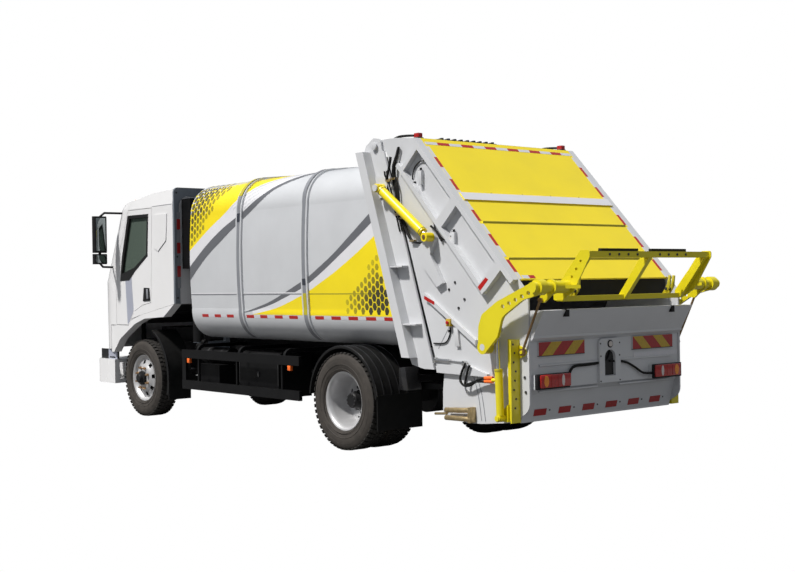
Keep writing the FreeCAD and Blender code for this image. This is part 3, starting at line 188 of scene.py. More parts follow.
# Which look each CAD node takes; a star stands for left and right
NODE_LOOKS = {
    "silver": "body_floor body_sides body_roof body_front",
    "pale": "portal tailgate_sides hopper tailgate_rear",
    "yellow": "tailgate_cover lift_barrel_*",
    "lift_yellow": "lifter_arms grab_frame lifter_barrel_* lifter_mounts",
    "white": "cab_roof cab_back cab_front cab_sides cab_fenders door_* bumper bumper_corners",
    "panel": "intake",
    "black": "frame_rails cross_members tanks side_guards",
    "rubber": "front_mudguards rear_mudguards",
    "plastic": "mirrors cab_floor cab_interior steering_wheel",
    "steel": "axles leaf_springs driveline carriage packer_blade knuckle_*",
    "rim": "front_rim_* rear_rim_*",
    "tyre": "front_tyre_* rear_tyres_*",
    "chrome": "lift_rod_* lifter_rod_*",
    "brass": "lifter_link_*",
}
for look, names in NODE_LOOKS.items():
    for name in sorted({name.replace("*", word) for name in names.split() for _, word in SIDES}):
        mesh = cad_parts[name].data
        mesh.materials.clear()
        mesh.materials.append(MATERIALS[look])


# Pieces: each gathers simple solids of one material that ride on one body

pieces = {}


def piece(name, body, look):
    if name not in pieces:
        pieces[name] = (bmesh.new(), body, look)
    return pieces[name][0]


def chassis(name, look):
    """A piece on the chassis; cab and tail do the same for the cab and the tailgate."""
    return piece(name, "chassis", look)


def cab(name, look):
    return piece(name, "cab", look)


def tail(name, look):
    return piece("tail_" + name, "tailgate", look)


def merge(target, part, outward=False):
    """Adds a part's faces to its piece, turned outward first where that is asked."""
    if outward:
        bmesh.ops.recalc_face_normals(part, faces=part.faces)
    mesh = bpy.data.meshes.new("scratch")
    part.to_mesh(mesh)
    part.free()
    target.from_mesh(mesh)
    bpy.data.meshes.remove(mesh)


def strips(part, rows, around=False, flip=False):
    """Faces between each row of vertices and the next; around also joins a row's last to its first."""
    for a, b in zip(rows, rows[1:]):
        for k in range(len(a) if around else len(a) - 1):
            after = (k + 1) % len(a)
            part.faces.new((a[k], b[k], b[after], a[after]) if flip else (a[k], a[after], b[after], b[k]))


def sheet(target, rows, around=False):
    """A surface through rows of points."""
    part = bmesh.new()
    strips(part, [[part.verts.new(p) for p in row] for row in rows], around)
    merge(target, part, True)


def bevelled(part, width):
    edges = [e for e in part.edges if len(e.link_faces) == 2 and e.calc_face_angle(0) > 0.6]
    if edges and width:
        bmesh.ops.bevel(part, geom=edges, offset=width, segments=2, profile=0.5, affect="EDGES",
                        clamp_overlap=True)


def extruded(target, outline, direction, bevel=0.0):
    """A flat outline pushed along a direction, with bevelled edges where that is asked."""
    part = bmesh.new()
    face = part.faces.new([part.verts.new(p) for p in outline])
    made = bmesh.ops.extrude_face_region(part, geom=[face])
    moved = [v for v in made["geom"] if isinstance(v, bmesh.types.BMVert)]
    bmesh.ops.translate(part, verts=moved, vec=direction)
    bmesh.ops.recalc_face_normals(part, faces=part.faces)
    bevelled(part, bevel)
    merge(target, part)


def plate_x(target, points, x0, x1, bevel=0.0):
    extruded(target, [at(x0, y, z) for y, z in points], Vector((x1 - x0, 0, 0)), bevel)


def plate_y(target, points, y0, y1, bevel=0.0):
    extruded(target, [at(x, y0, z) for x, z in points], Vector((0, y1 - y0, 0)), bevel)


def quad(x0, x1, a, b):
    """Corners of the rectangle from (x0, a) to (x1, b)."""
    return (x0, a), (x1, a), (x1, b), (x0, b)


def block(target, x0, x1, y0, y1, z0, z1, bevel=0.0):
    extruded(target, [at(x, y, z0) for x, y in quad(x0, x1, y0, y1)], Vector((0, 0, z1 - z0)), bevel)


def cylinder(target, start, end, radius, sides=20, bevel=0.0):
    axis = end - start
    part = bmesh.new()
    bmesh.ops.create_cone(part, cap_ends=True, segments=sides, radius1=radius, radius2=radius,
                          depth=axis.length)
    turn = Vector((0, 0, 1)).rotation_difference(axis).to_matrix().to_4x4()
    bmesh.ops.transform(part, matrix=Matrix.Translation((start + end) / 2) @ turn, verts=part.verts)
    bevelled(part, bevel)
    merge(target, part)


def paired(make, target, x0, x1, *rest):
    """The same solid from x0 to x1 on the left and on the right."""
    for s, _ in SIDES:
        make(target, s * x0, s * x1, *rest)


def mirrored(make, target, x, *rest):
    """The same solid at x on the left and on the right."""
    for s, _ in SIDES:
        make(target, s * x, *rest)


def rod_x(target, x0, x1, y, z, radius, sides=20, bevel=0.0):
    cylinder(target, at(x0, y, z), at(x1, y, z), radius, sides, bevel)


def rod_y(target, x, y0, y1, z, radius, sides=20, bevel=0.0):
    cylinder(target, at(x, y0, z), at(x, y1, z), radius, sides, bevel)


def rod_z(target, x, y, z0, z1, radius, sides=20, bevel=0.0):
    cylinder(target, at(x, y, z0), at(x, y, z1), radius, sides, bevel)


def smooth_path(points, steps):
    """Points along a smooth line through the given ones."""
    result = []
    last = len(points) - 1
    for i in range(last):
        a = points[max(i - 1, 0)]
        b, c = points[i], points[i + 1]
        d = points[min(i + 2, last)]
        for k in range(steps):
            t = k / steps
            result.append(0.5 * ((2 * b) + (c - a) * t + (2 * a - 5 * b + 4 * c - d) * t * t
                                 + (3 * b - a - 3 * c + d) * t ** 3))
    return result + [points[-1]]


def tube(target, points, radius, sides=8, steps=6):
    """A round cord through (x, y, z) points, smooth when it takes more than one step between them."""
    line = [at(*p) for p in points]
    if steps > 1:
        line = smooth_path(line, steps)
    part = bmesh.new()
    rings = []
    side = None
    for i, p in enumerate(line):
        way = (line[min(i + 1, len(line) - 1)] - line[max(i - 1, 0)]).normalized()
        if side is None:
            side = way.orthogonal().normalized()
        side = (side - way * side.dot(way)).normalized()
        other = way.cross(side)
        rings.append([part.verts.new(p + (side * cos(a) + other * sin(a)) * radius)
                      for a in (2 * pi * k / sides for k in range(sides))])
    strips(part, rings, True)
    part.faces.new(list(reversed(rings[0])))
    part.faces.new(rings[-1])
    merge(target, part)


def tube_x(target, x, points, radius, sides=8, steps=6):
    tube(target, [(x, y, z) for y, z in points], radius, sides, steps)


# The body's side surface

def circle_through(p1, p2, p3):
    """Centre and radius of the circle through three points."""
    (ax, ay), (bx, by), (cx, cy) = p1, p2, p3
    d = 2 * (ax * (by - cy) + bx * (cy - ay) + cx * (ay - by))
    a, b, c = ax * ax + ay * ay, bx * bx + by * by, cx * cx + cy * cy
    ux = (a * (by - cy) + b * (cy - ay) + c * (ay - by)) / d
    uy = (a * (cx - bx) + b * (ax - cx) + c * (bx - ax)) / d
    return ux, uy, hypot(ax - ux, ay - uy)


FLOOR_X, EDGE_X, SIDE_X, ROOF_X = 0.83, 1.15, 1.172, 0.76
BOTTOM, LOW_Z, HIGH_Z, ROOF_Z, TOP = 1.06, 1.42, 2.52, 2.9, 2.95
ARCS = [
    ((FLOOR_X, BOTTOM), (FLOOR_X + (EDGE_X - FLOOR_X) * 0.72, BOTTOM + (LOW_Z - BOTTOM) * 0.27),
     (EDGE_X, LOW_Z)),
    ((EDGE_X, LOW_Z), (SIDE_X, (LOW_Z + HIGH_Z) / 2), (EDGE_X, HIGH_Z)),
    ((EDGE_X, HIGH_Z), (ROOF_X + (EDGE_X - ROOF_X) * 0.7, ROOF_Z - (ROOF_Z - HIGH_Z) * 0.26),
     (ROOF_X, ROOF_Z)),
    ((ROOF_X, ROOF_Z), (0, TOP), (-ROOF_X, ROOF_Z)),
]
ARC_STEPS = 14


def section_points(grow):
    """The left half of the body's outline from the floor's edge to the roof's middle, as (x, z)."""
    points = []
    for i, (p1, p2, p3) in enumerate(ARCS):
        grown = [(x + (grow if x > 0.01 else 0), z + (grow if i == 3 or (i == 2 and z > HIGH_Z) else 0))
                 for x, z in (p1, p2, p3)]
        if i == 3:
            grown[2] = (-grown[0][0], grown[0][1])
        ux, uz, r = circle_through(*grown)
        end = grown[1] if i == 3 else grown[2]
        a0, a1 = (atan2(z - uz, x - ux) for x, z in (grown[0], end))
        for k in range(ARC_STEPS):
            a = a0 + (a1 - a0) * k / ARC_STEPS
            points.append((ux + r * cos(a), uz + r * sin(a)))
    return points + [(0.0, TOP + grow)]


def stretch(keys, value):
    """Index of the stretch between keys that value falls in, and the share of it that is passed."""
    i = min(max(bisect.bisect(keys, value) - 1, 0), len(keys) - 2)
    return i, min(max((value - keys[i]) / (keys[i + 1] - keys[i]), 0), 1)


def x_at(z, table):
    """How far out the surface stands at height z."""
    i, t = stretch([p[1] for p in table], z)
    return table[i][0] + (table[i + 1][0] - table[i][0]) * t


def curve(points):
    """A smooth function through (y, z) points."""
    def value(y):
        i, t = stretch([p[0] for p in points], y)
        p = [points[max(i - 1, 0)], points[i], points[i + 1], points[min(i + 2, len(points) - 1)]]
        span = p[2][0] - p[1][0]
        m1, m2 = ((b[1] - a[1]) / max(b[0] - a[0], 1e-6) * span for a, b in ((p[0], p[2]), (p[1], p[3])))
        return ((2 * t ** 3 - 3 * t * t + 1) * p[1][1] + (t ** 3 - 2 * t * t + t) * m1
                + (-2 * t ** 3 + 3 * t * t) * p[2][1] + (t ** 3 - t * t) * m2)
    return value


def level(height):
    return lambda y: height


SEAM_FOOT_Y, SEAM_FOOT_Z, SEAM_LEAN = 5.726, 0.866, 0.3271
PORTAL_WIDTH = 0.318


def seam(z):
    """Where the tailgate's front edge stands at height z, behind the portal."""
    return SEAM_FOOT_Y - (z - SEAM_FOOT_Z) * SEAM_LEAN


def portal_front(z):
    return seam(z) - PORTAL_WIDTH


def skin(target, lower, upper, y0, y1, lift, along, up):
    """A painted area on both body sides between two curves, lifted a hair off the sheet."""
    table = section_points(lift)
    for s, _ in SIDES:
        part = bmesh.new()
        rows = []
        for i in range(along + 1):
            y = y0 + (y1 - y0) * i / along
            low = lower(y)
            high = max(upper(y), low + 0.0005)
            row = []
            for z in (low + (high - low) * k / up for k in range(up + 1)):
                row.append(part.verts.new(at(s * x_at(z, table), min(y, portal_front(z) - 0.003), z)))
            rows.append(row)
        strips(part, rows, flip=s > 0)
        bmesh.ops.dissolve_degenerate(part, dist=1e-6, edges=part.edges)
        merge(target, part)


HOOPS = (2.54, 3.8)
HOOP_EDGE = 0.056
HOOP_HEIGHT = 0.022
SHEET_START, SHEET_END = 1.452, 5.22
sweep_1u = curve([(1.45, 1.915), (1.8, 2.143), (2.14, 2.328), (2.457, 2.46), (2.63, 2.533), (2.88, 2.656),
                  (3.16, 2.78), (3.46, 2.868), (3.75, 2.9)])
sweep_1l = curve([(1.45, 1.755), (1.8, 2.005), (2.14, 2.197), (2.42, 2.345), (2.66, 2.462), (2.906, 2.592),
                  (3.14, 2.73), (3.5, 2.845), (3.75, 2.895)])
yellow_1 = curve([(1.45, 2.105), (1.86, 2.34), (2.245, 2.534), (2.446, 2.66), (2.579, 2.724), (2.822, 2.822),
                  (3.2, 2.892), (3.45, 2.92), (3.75, 2.948)])
sweep_2u = curve([(2.56, 1.375), (2.8, 1.425), (3.11, 1.499), (3.389, 1.591), (3.632, 1.68), (3.828, 1.752),
                  (4.07, 1.873), (4.315, 2.005), (4.595, 2.187), (4.859, 2.364), (5.1, 2.53)])
sweep_2l = curve([(2.56, 1.372), (2.8, 1.402), (3.133, 1.468), (3.383, 1.538), (3.64, 1.615), (3.836, 1.686),
                  (4.091, 1.807), (4.361, 1.955), (4.641, 2.115), (4.906, 2.278), (5.15, 2.43)])
yellow_2 = curve([(2.75, 1.358), (2.823, 1.365), (3.264, 1.438), (3.671, 1.553), (3.828, 1.604),
                  (4.059, 1.698), (4.307, 1.804), (4.662, 1.981), (4.963, 2.151), (5.25, 2.31)])
tape_top = level(1.356)
roof_middle = level(TOP + 0.0004)
bay_edges = [SHEET_START, *(hoop + step for hoop in HOOPS for step in (-HOOP_EDGE, HOOP_EDGE)), SHEET_END]
BAYS = list(zip(bay_edges[::2], bay_edges[1::2]))


def in_bays(look, lower, upper, y0, y1, lift, up):
    """A painted area from y0 to y1 that leaves the hoops free."""
    target = chassis("livery_" + look, look)
    for a, b in BAYS:
        start, end = max(a, y0), min(b, y1)
        if end - start > 0.01:
            skin(target, lower, upper, start, end, lift, 30, up)


PAINT, SECOND_COAT = 0.0012, 0.0018
FIELD_1_END, FIELD_2_START = 3.74, 2.76
in_bays("yellow", yellow_1, roof_middle, SHEET_START, FIELD_1_END, PAINT, 14)
in_bays("yellow", tape_top, yellow_2, FIELD_2_START, SHEET_END, PAINT, 36)
in_bays("margin", sweep_1u, yellow_1, SHEET_START, FIELD_1_END, PAINT, 4)
in_bays("margin", yellow_2, sweep_2l, FIELD_2_START, SHEET_END, PAINT, 4)
in_bays("grey", sweep_1l, sweep_1u, SHEET_START, FIELD_1_END, SECOND_COAT, 4)
in_bays("grey", sweep_2l, sweep_2u, 2.6, SHEET_END, SECOND_COAT, 4)

# Painted faces of the two hoops, tinted where the livery crosses them
HOOP_TOP = TOP + HOOP_HEIGHT
for y, tints in zip(HOOPS, (((2.7, HOOP_TOP), (2.4, 2.5)), ((1.36, 1.59), (1.675, 1.745)))):
    spans = ((1.062, HOOP_TOP), *tints)
    for k, (look, (low, high)) in enumerate(zip(("hoop_grey", "yellow_dark", "navy"), spans)):
        half = 0.03 + 0.001 * k
        skin(chassis("hoop_" + look, look), level(low), level(high), y - half, y + half,
             HOOP_HEIGHT + 0.0008 + 0.0006 * k, 2, 60 if high - low > 1 else 16)

# Dark honeycomb that fades into the yellow
CELL_STEP_Y, CELL_STEP_Z = 0.062, 0.087
CELL_HALF_Y, CELL_HALF_Z = 0.034, 0.042725
DARK_CELL, LIGHT_CELL = (0.05, 0.045, 0.02), (0.85, 0.7, 0.015)
for i in range(5):
    share = i / 4
    tone = [light * 0.62 * (1 - share) ** 1.4 + dark * share for light, dark in zip(LIGHT_CELL, DARK_CELL)]
    MATERIALS["cell_%d" % i] = principled("cell_%d" % i, tone, 0.4, 0.0, 0.3, 0.05, 20.0)


def honeycomb(cells):
    """Six-sided cells at (y, z, strength); a stronger one is darker and larger."""
    table = section_points(0.0026)
    for y, z, strength in cells:
        look = "cell_%d" % round(strength * 4)
        size = 0.74 + 0.26 * strength
        ring = [(y + CELL_HALF_Y * size * cos(a), z + CELL_HALF_Z * size * sin(a))
                for a in (radians(60 * k) for k in range(6))]
        for s, _ in SIDES:
            part = bmesh.new()
            verts = [part.verts.new(at(s * x_at(cz, table), cy, cz)) for cy, cz in ring]
            part.faces.new(verts if s > 0 else verts[::-1])
            merge(chassis("livery_" + look, look), part)


def lattice(y0, y1, z0, z1):
    """Places of the cells, every second column half a step higher."""
    for column in range(ceil((y1 - y0) / CELL_STEP_Y)):
        z = z0 + (CELL_STEP_Z / 2 if column % 2 else 0)
        while z < z1:
            yield y0 + column * CELL_STEP_Y, z
            z += CELL_STEP_Z


rear_cells = []
for y, z in lattice(4.5, 5.3, 1.41, 2.1):
    start = 4.5 + max(0.0, z - 1.55) * 1.25
    if start <= y <= portal_front(z) - 0.05 and z <= yellow_2(y) - 0.06:
        rear_cells.append((y, z, min(1.0, (y - start) / 0.42)))
honeycomb(rear_cells)
front_cells = []
for y, z in lattice(1.5, 2.35, 2.2, 2.9):
    reach = 1.62 + (z - 2.2) * 0.85
    if y <= reach and yellow_1(y) + 0.06 <= z <= 2.87:
        front_cells.append((y, z, min(0.8, 0.15 + (reach - y) / 0.55)))
honeycomb(front_cells)

# Row of red and white tape along the body
TAPE_LOW, TAPE_HIGH = level(1.316), level(1.35)
tape_spans = [(1.678, 1.82), (1.955, 2.091), (2.221, 2.365), (2.633, 2.785), (2.908, 3.047), (3.192, 3.345),
              (3.466, 3.622), (3.937, 4.089), (4.217, 4.376), (4.503, 4.659), (4.787, 4.946), (5.072, 5.2)]
for start, end in tape_spans:
    skin(chassis("body_tape_red", "red"), TAPE_LOW, TAPE_HIGH, start, end, 0.0016, 4, 3)
for (_, start), (end, _) in zip(tape_spans, tape_spans[1:]):
    if not any(start < hoop < end for hoop in HOOPS):
        skin(chassis("body_tape_white", "tape_white"), TAPE_LOW, TAPE_HIGH, start, end, 0.0014, 2, 3)

# Weld line: a dark line of painted shade with a painted highlight above it, in darker and plain yellow where
# it crosses the yellow
for start, end in BAYS:
    shade_and_highlight_looks = ("yellow_dark", "yellow") if start > HOOPS[1] else ("hoop_grey", "margin")
    for look, low, high in zip(shade_and_highlight_looks, (1.577, 1.589), (1.587, 1.601)):
        skin(chassis("weld_shade_highlight_" + look, look), level(low), level(high), start, end, 0.0022, 2, 2)


# Wheels

WHEEL_Z = 0.5
FRONT_X, REAR_X, DUAL = 0.915, 1.112, 0.315
RIM_HALF = 0.105
TYRE_WIDTH, BEAD_WIDTH, RIM_R = 0.275, 0.21, 0.29
CARCASS_R, TREAD_R, RING_RISE = 0.4835, 0.499, 0.004
REPLACED = []


def on_wheel(x, y, r, angle, s):
    return at(s * x, y + r * cos(angle), WHEEL_Z + r * sin(angle))


def revolved(target, profile, y, s, sides=72):
    """(x, radius) points turned about the axle at y, on side s."""
    sheet(target, [[on_wheel(x, y, r, 2 * pi * k / sides, s) for k in range(sides)]
                   for x, r in profile], True)


def tyre_profile(x):
    """(x, radius) outline of a tyre's inner and outer wall, from bead to crown and back."""
    half, bead, outer = TYRE_WIDTH / 2, BEAD_WIDTH / 2, WHEEL_Z
    wall = [(bead - 0.012, RIM_R - 0.006), (bead, RIM_R + 0.004), (bead + 0.01, RIM_R + 0.02),
            (half - 0.008, RIM_R + 0.06), (half, RIM_R + 0.105), (half - 0.004, RIM_R + 0.145),
            (half - 0.014, outer - 0.035), (half - 0.024, outer - 0.02)]
    return [(x - out, r) for out, r in wall], [(x + out, r) for out, r in wall[::-1]]


def tread(target, x, y, outer, s):
    """Circumferential ribs cut by slanted grooves, as separate blocks on a carcass."""
    count = 52
    pitch = 2 * pi / count
    part = bmesh.new()
    for r, (a, b) in enumerate(((-0.46, -0.3), (-0.27, -0.1), (-0.07, 0.07), (0.1, 0.27), (0.3, 0.46))):
        shoulder = r in (0, 4)
        length = pitch * (0.62 if shoulder else 0.8)
        skew = 0 if shoulder else pitch * (0.28 if r % 2 else -0.28)
        drop_a, drop_b = 0.006 * (r == 0), 0.006 * (r == 4)
        for k in range(count):
            start = pitch * (k + 0.5 * (r % 2))
            corners = ((a, start, drop_a), (a, start + length, drop_a), (b, start + length + skew, drop_b),
                       (b, start + skew, drop_b))
            low = [part.verts.new(on_wheel(x + share * TYRE_WIDTH * 0.98, y, outer - 0.017, turn, s))
                   for share, turn, _ in corners]
            top = [part.verts.new(on_wheel(x + share * TYRE_WIDTH * 0.98, y, outer - drop, turn, s))
                   for share, turn, drop in corners]
            part.faces.new(top)
            strips(part, [low, top], True)
    merge(target, part, True)


def tyre(name, body, node, centres, y, s):
    """Walls with three raised rings, carcass and tread of the tyres at these centres on one axle."""
    walls = piece(name + "_side", body, "tyre")
    crown = piece(name + "_tread", body, "tread")
    for x in centres:
        inner, outer = tyre_profile(x)
        revolved(walls, inner, y, s)
        revolved(walls, outer, y, s)
        revolved(crown, [inner[-1], (x - 0.1, CARCASS_R), (x + 0.1, CARCASS_R), outer[0]], y, s)
        for r, reach in ((0.325, 0.13575), (0.372, 0.13775), (0.43, 0.13575)):
            for way in (-reach, reach):
                foot = x + way * (1 - RING_RISE / reach)
                revolved(walls, [(foot, r - RING_RISE), (x + way, r), (foot, r + RING_RISE)], y, s)
        tread(crown, x, y, TREAD_R, s)
    REPLACED.append((name + "_side", node))


def shifted(base, points):
    """Moves a profile whose x values count from base."""
    return [(base + dx, r) for dx, r in points]


def wheel_nuts(target, x, y, ring, count, turn, length, radius, s, sides=6, bevel=0.0):
    """A ring of nuts, or of short rods, standing out of the wheel's disc."""
    for k in range(count):
        base = on_wheel(x, y, ring, radians(360 / count * k + turn), s)
        cylinder(target, base, base + Vector((s * length, 0, 0)), radius, sides, bevel)


def front_rim_look(word, s):
    body = "front_wheel_" + word
    rim = piece("front_rim_look_" + word, body, "rim")
    face = FRONT_X + RIM_HALF
    revolved(rim, shifted(face, [(-0.21, 0.298), (-0.203, 0.2895), (-0.125, 0.262), (-0.045, 0.268),
                                 (-0.012, 0.284), (0, 0.2985), (0.006, 0.298), (0.002, 0.284),
                                 (-0.012, 0.268), (-0.035, 0.252)]), 0, s)
    # Conical disc whose hand holes are left open between its ribs
    part = bmesh.new()
    steps, hole_pitch = 72, 9
    grid = [[part.verts.new(on_wheel(face + dx, 0, r, 2 * pi * k / steps, s)) for k in range(steps)]
            for dx, r in ((-0.035, 0.252), (-0.03, 0.228), (-0.02, 0.205), (-0.008, 0.182), (0.01, 0.16),
                          (0.018, 0.135), (0.02, 0.09))]
    for i, (a, b) in enumerate(zip(grid, grid[1:])):
        for k in range(steps):
            if i not in (1, 2) or k % hole_pitch > 2:
                part.faces.new((a[k], a[(k + 1) % steps], b[(k + 1) % steps], b[k]))
    merge(rim, part)
    back = piece("front_rim_back_" + word, body, "steel")
    revolved(back, shifted(face, [(-0.065, 0.25), (-0.05, 0.15), (-0.03, 0.1)]), 0, s, 36)
    hub = piece("front_hub_" + word, body, "plastic")
    revolved(hub, shifted(face, [(0.018, 0.092), (0.05, 0.088), (0.055, 0.062), (0.085, 0.058),
                                 (0.095, 0.05), (0.096, 0.0)]), 0, s, 32)
    nuts = piece("front_nuts_" + word, body, "nut")
    wheel_nuts(nuts, face + 0.017, 0, 0.1375, 8, 20, 0.022, 0.019, s, 6, 0.003)
    wheel_nuts(nuts, face + 0.017, 0, 0.1375, 8, 20, 0.042, 0.0105, s, 8)
    REPLACED.append(("front_rim_look_" + word, "front_rim_" + word))


def rear_rim_look(word, s):
    body = "rear_wheels_" + word
    rim = piece("rear_rim_look_" + word, body, "rim")
    face = REAR_X + RIM_HALF
    disc = REAR_X - DUAL / 2
    inner = REAR_X - DUAL - RIM_HALF
    revolved(rim, [(disc - 0.01, 0.262)] + shifted(face, [
        (-0.05, 0.266), (-0.016, 0.282), (0, 0.2985), (0.006, 0.298), (0.002, 0.284), (-0.014, 0.268),
        (-0.06, 0.256)]) + shifted(disc, [(0.06, 0.25), (0.022, 0.236), (0.012, 0.205), (0.012, 0.118),
                                          (0.016, 0.1)]), REAR_AXLE, s)
    revolved(rim, shifted(inner, [(0, 0.298), (0.01, 0.2895), (0.06, 0.262)]) + [(disc - 0.01, 0.262)],
             REAR_AXLE, s, 48)
    # Thin dark discs on the disc are painted shade standing for the hand holes
    holes = piece("rear_hand_hole_shade_" + word, body, "steel")
    wheel_nuts(holes, disc + 0.01, REAR_AXLE, 0.212, 8, 22.5, 0.0045, 0.021, s, 16)
    hub = piece("rear_hub_" + word, body, "plastic")
    revolved(hub, shifted(disc, [(0.012, 0.112), (0.05, 0.106), (0.1, 0.082), (0.165, 0.078), (0.175, 0.066),
                                 (0.176, 0.0)]), REAR_AXLE, s, 32)
    nuts = piece("rear_nuts_" + word, body, "steel")
    wheel_nuts(nuts, disc + 0.012, REAR_AXLE, 0.1375, 10, 10, 0.026, 0.018, s, 6, 0.003)
    wheel_nuts(nuts, disc + 0.172, REAR_AXLE, 0.062, 10, 0, 0.01, 0.008, s)
    back = piece("rear_rim_back_" + word, body, "steel")
    revolved(back, [(inner + 0.02, 0.26), (disc - 0.02, 0.255), (disc - 0.01, 0.06)], REAR_AXLE, s, 36)
    REPLACED.append(("rear_rim_look_" + word, "rear_rim_" + word))


for s, word in SIDES:
    tyre("front_tyre_look_" + word, "front_wheel_" + word, "front_tyre_" + word, [FRONT_X], 0.0, s)
    tyre("rear_tyre_look_" + word, "rear_wheels_" + word, "rear_tyres_" + word, [REAR_X, REAR_X - DUAL],
         REAR_AXLE, s)
for s, word in SIDES:
    front_rim_look(word, s)
    rear_rim_look(word, s)


# Tailgate: its slope's own directions

SLOPE = Vector((0, 0.6843, -0.7292))
RIDGE = at(0, 5.528, 3.062)
OUT = Vector((0, 0.7292, 0.6843))
SIDE_FACE, RIB_FACE, COVER_EDGE = 1.065, 1.125, 1.043
BOARD_FACE, STAND_FACE, WALL_FACE = 6.9262, 6.947, 6.9122
TAPE = 0.0008


def on_slope(x, distance, lift=0.0):
    return RIDGE + Vector((x, 0, 0)) + SLOPE * distance + OUT * lift


def slope_patch(target, x0, x1, d0, d1, lift, thick):
    extruded(target, [on_slope(x, d, lift) for x, d in quad(x0, x1, d0, d1)], OUT * thick)


def slope_tapes():
    """Red and white tape along the slope's two edges and its top."""
    red = (tail("tape_red", "red"), 0.0006)
    white = (tail("tape_white", "tape_white"), 0.0004)
    red_spans = [(0.27, 0.411), (0.575, 0.723), (0.989, 1.132), (1.303, 1.452), (1.626, 1.78)]
    white_spans = [(0.115, 0.27), (0.411, 0.575), (0.723, 0.76), (0.868, 0.989), (1.172, 1.303),
                   (1.452, 1.59), (1.78, 1.864)]
    pitch, length = 0.319, 0.155
    top, foot = (0.05, 0.088), (1.82, 1.858)
    rows = [(tape, s * 1.006, s * COVER_EDGE, *span) for s, _ in SIDES
            for tape, spans in ((red, red_spans), (white, white_spans)) for span in spans]
    for k in range(6):
        x = 0.87 - k * pitch
        rows += [(red, x, x - length, *top), (white, x - length, x - pitch if k < 5 else -1.03, *top)]
    rows += [(white, 1.03, 0.87, *top), (red, 0.905, 0.83, *foot), (white, 0.99, 0.905, *foot)]
    for (target, lift), x0, x1, d0, d1 in rows:
        slope_patch(target, x0, x1, d0, d1, lift, TAPE)


def slope_skin():
    """Pale light bar and roof plate, and painted shade on the steps in the yellow skin."""
    slope_patch(tail("cover_bar", "margin"), -COVER_EDGE, COVER_EDGE, 0.766, 0.861, 0.0121, 0.001)
    step = tail("cover_step_shade", "yellow_dark")
    # Olive yellow over both faces of each crease is painted shade
    for crease in (1.148, 1.613):
        foot, top = 0.021, (crease, 0.0108)
        for a, b in (((crease - foot, -0.0045), top), (top, (crease + foot, -0.0045))):
            extruded(step, [on_slope(x, *edge) for x, edge in quad(-1.004, 1.004, a, b)], OUT * 0.0012)
    for x in (0.62, 0.2, -0.2, -0.62):
        cylinder(tail("cover_studs", "yellow_dark"), on_slope(x, 0.752), on_slope(x, 0.752, 0.006), 0.009, 8)
    ends = ((seam(2.975) + 0.01, 3.0405), (5.192, 3.0975), (5.527, 3.0625))
    for a, b in zip(ends, ends[1:]):
        corners = [at(x, *edge) for x, edge in quad(-COVER_EDGE, COVER_EDGE, a, b)]
        extruded(tail("roof_plate", "pale"), corners, Vector((0, 0, 0.001)))


def sensor(y, z):
    """Small pair of sensors on a bracket of the left side plate."""
    stub, head = tail("sensor_stubs", "zinc"), tail("sensor_heads", "plastic")
    block(tail("sensor_brackets", "pale"), SIDE_FACE, 1.102, y - 0.004, y + 0.04, z - 0.13, z + 0.01, 0.003)
    for dy, dz in ((-0.004, 0.0), (0.018, 0.022)):
        rod_z(stub, 1.085, y + dy, z + dz - 0.05, z + dz - 0.012, 0.01, 10)
        rod_z(head, 1.085, y + dy, z + dz - 0.012, z + dz + 0.014, 0.012, 10, 0.003)


def side_cables():
    """Cables and hoses of the tailgate's left side, fixed along the plate."""
    wires = tail("side_cables", "rubber")
    hoses = tail("seam_hoses", "rubber")
    tube_x(wires, 1.078, [(5.651, 2.828), (5.6, 2.836), (5.546, 2.83), (5.47, 2.773), (5.439, 2.636),
                          (5.5, 2.56), (5.579, 2.458), (5.721, 2.284), (5.74, 2.24), (5.748, 2.205)], 0.0065)
    tube_x(wires, 1.082, [(5.748, 2.205), (5.8, 2.15), (5.87, 2.085), (5.93, 2.095), (5.985, 2.11)], 0.0065)
    tube_x(hoses, 1.084, [(5.7, 2.215), (5.77, 2.17), (5.81, 2.12), (5.85, 2.07)], 0.011)
    tube_x(wires, 1.074, [(5.935, 1.264), (5.926, 1.188), (5.861, 1.12), (5.705, 1.111)], 0.006)
    tube_x(hoses, 1.118, [(6.181, 0.945), (6.124, 0.85), (6.109, 0.784), (6.162, 0.74), (6.257, 0.754),
                          (6.338, 0.8), (6.44, 0.822)], 0.011)
    tube_x(hoses, 1.118, [(6.234, 0.929), (6.192, 0.834), (6.176, 0.75), (6.24, 0.765), (6.311, 0.784),
                          (6.44, 0.79)], 0.011)
    for z in (0.823, 0.792):
        cylinder(tail("hose_sleeve", "orange"), at(1.118, 6.43, z), at(1.118, 6.53, z + 0.004), 0.016, 12)
    for y, z in ((5.47, 2.64), (5.65, 2.372), (5.93, 1.23)):
        block(wires, SIDE_FACE, 1.088, y - 0.008, y + 0.008, z - 0.012, z + 0.012)
    tube_x(tail("seam_loops", "rubber"), 1.15, [(5.208, 2.905), (5.18, 2.8), (5.14, 2.69)], 0.013)


def stop_button():
    block(tail("button_box", "board_yellow"), SIDE_FACE, 1.112, 5.915, 5.975, 1.275, 1.345, 0.006)
    rod_x(tail("button_head", "red"), 1.112, 1.128, 5.945, 1.31, 0.016, 16, 0.003)
    plate_x(tail("button_post", "pale"), [(5.993, 1.265), (6.048, 1.265), (6.071, 1.092), (6.016, 1.092)],
            SIDE_FACE, 1.09, 0.003)


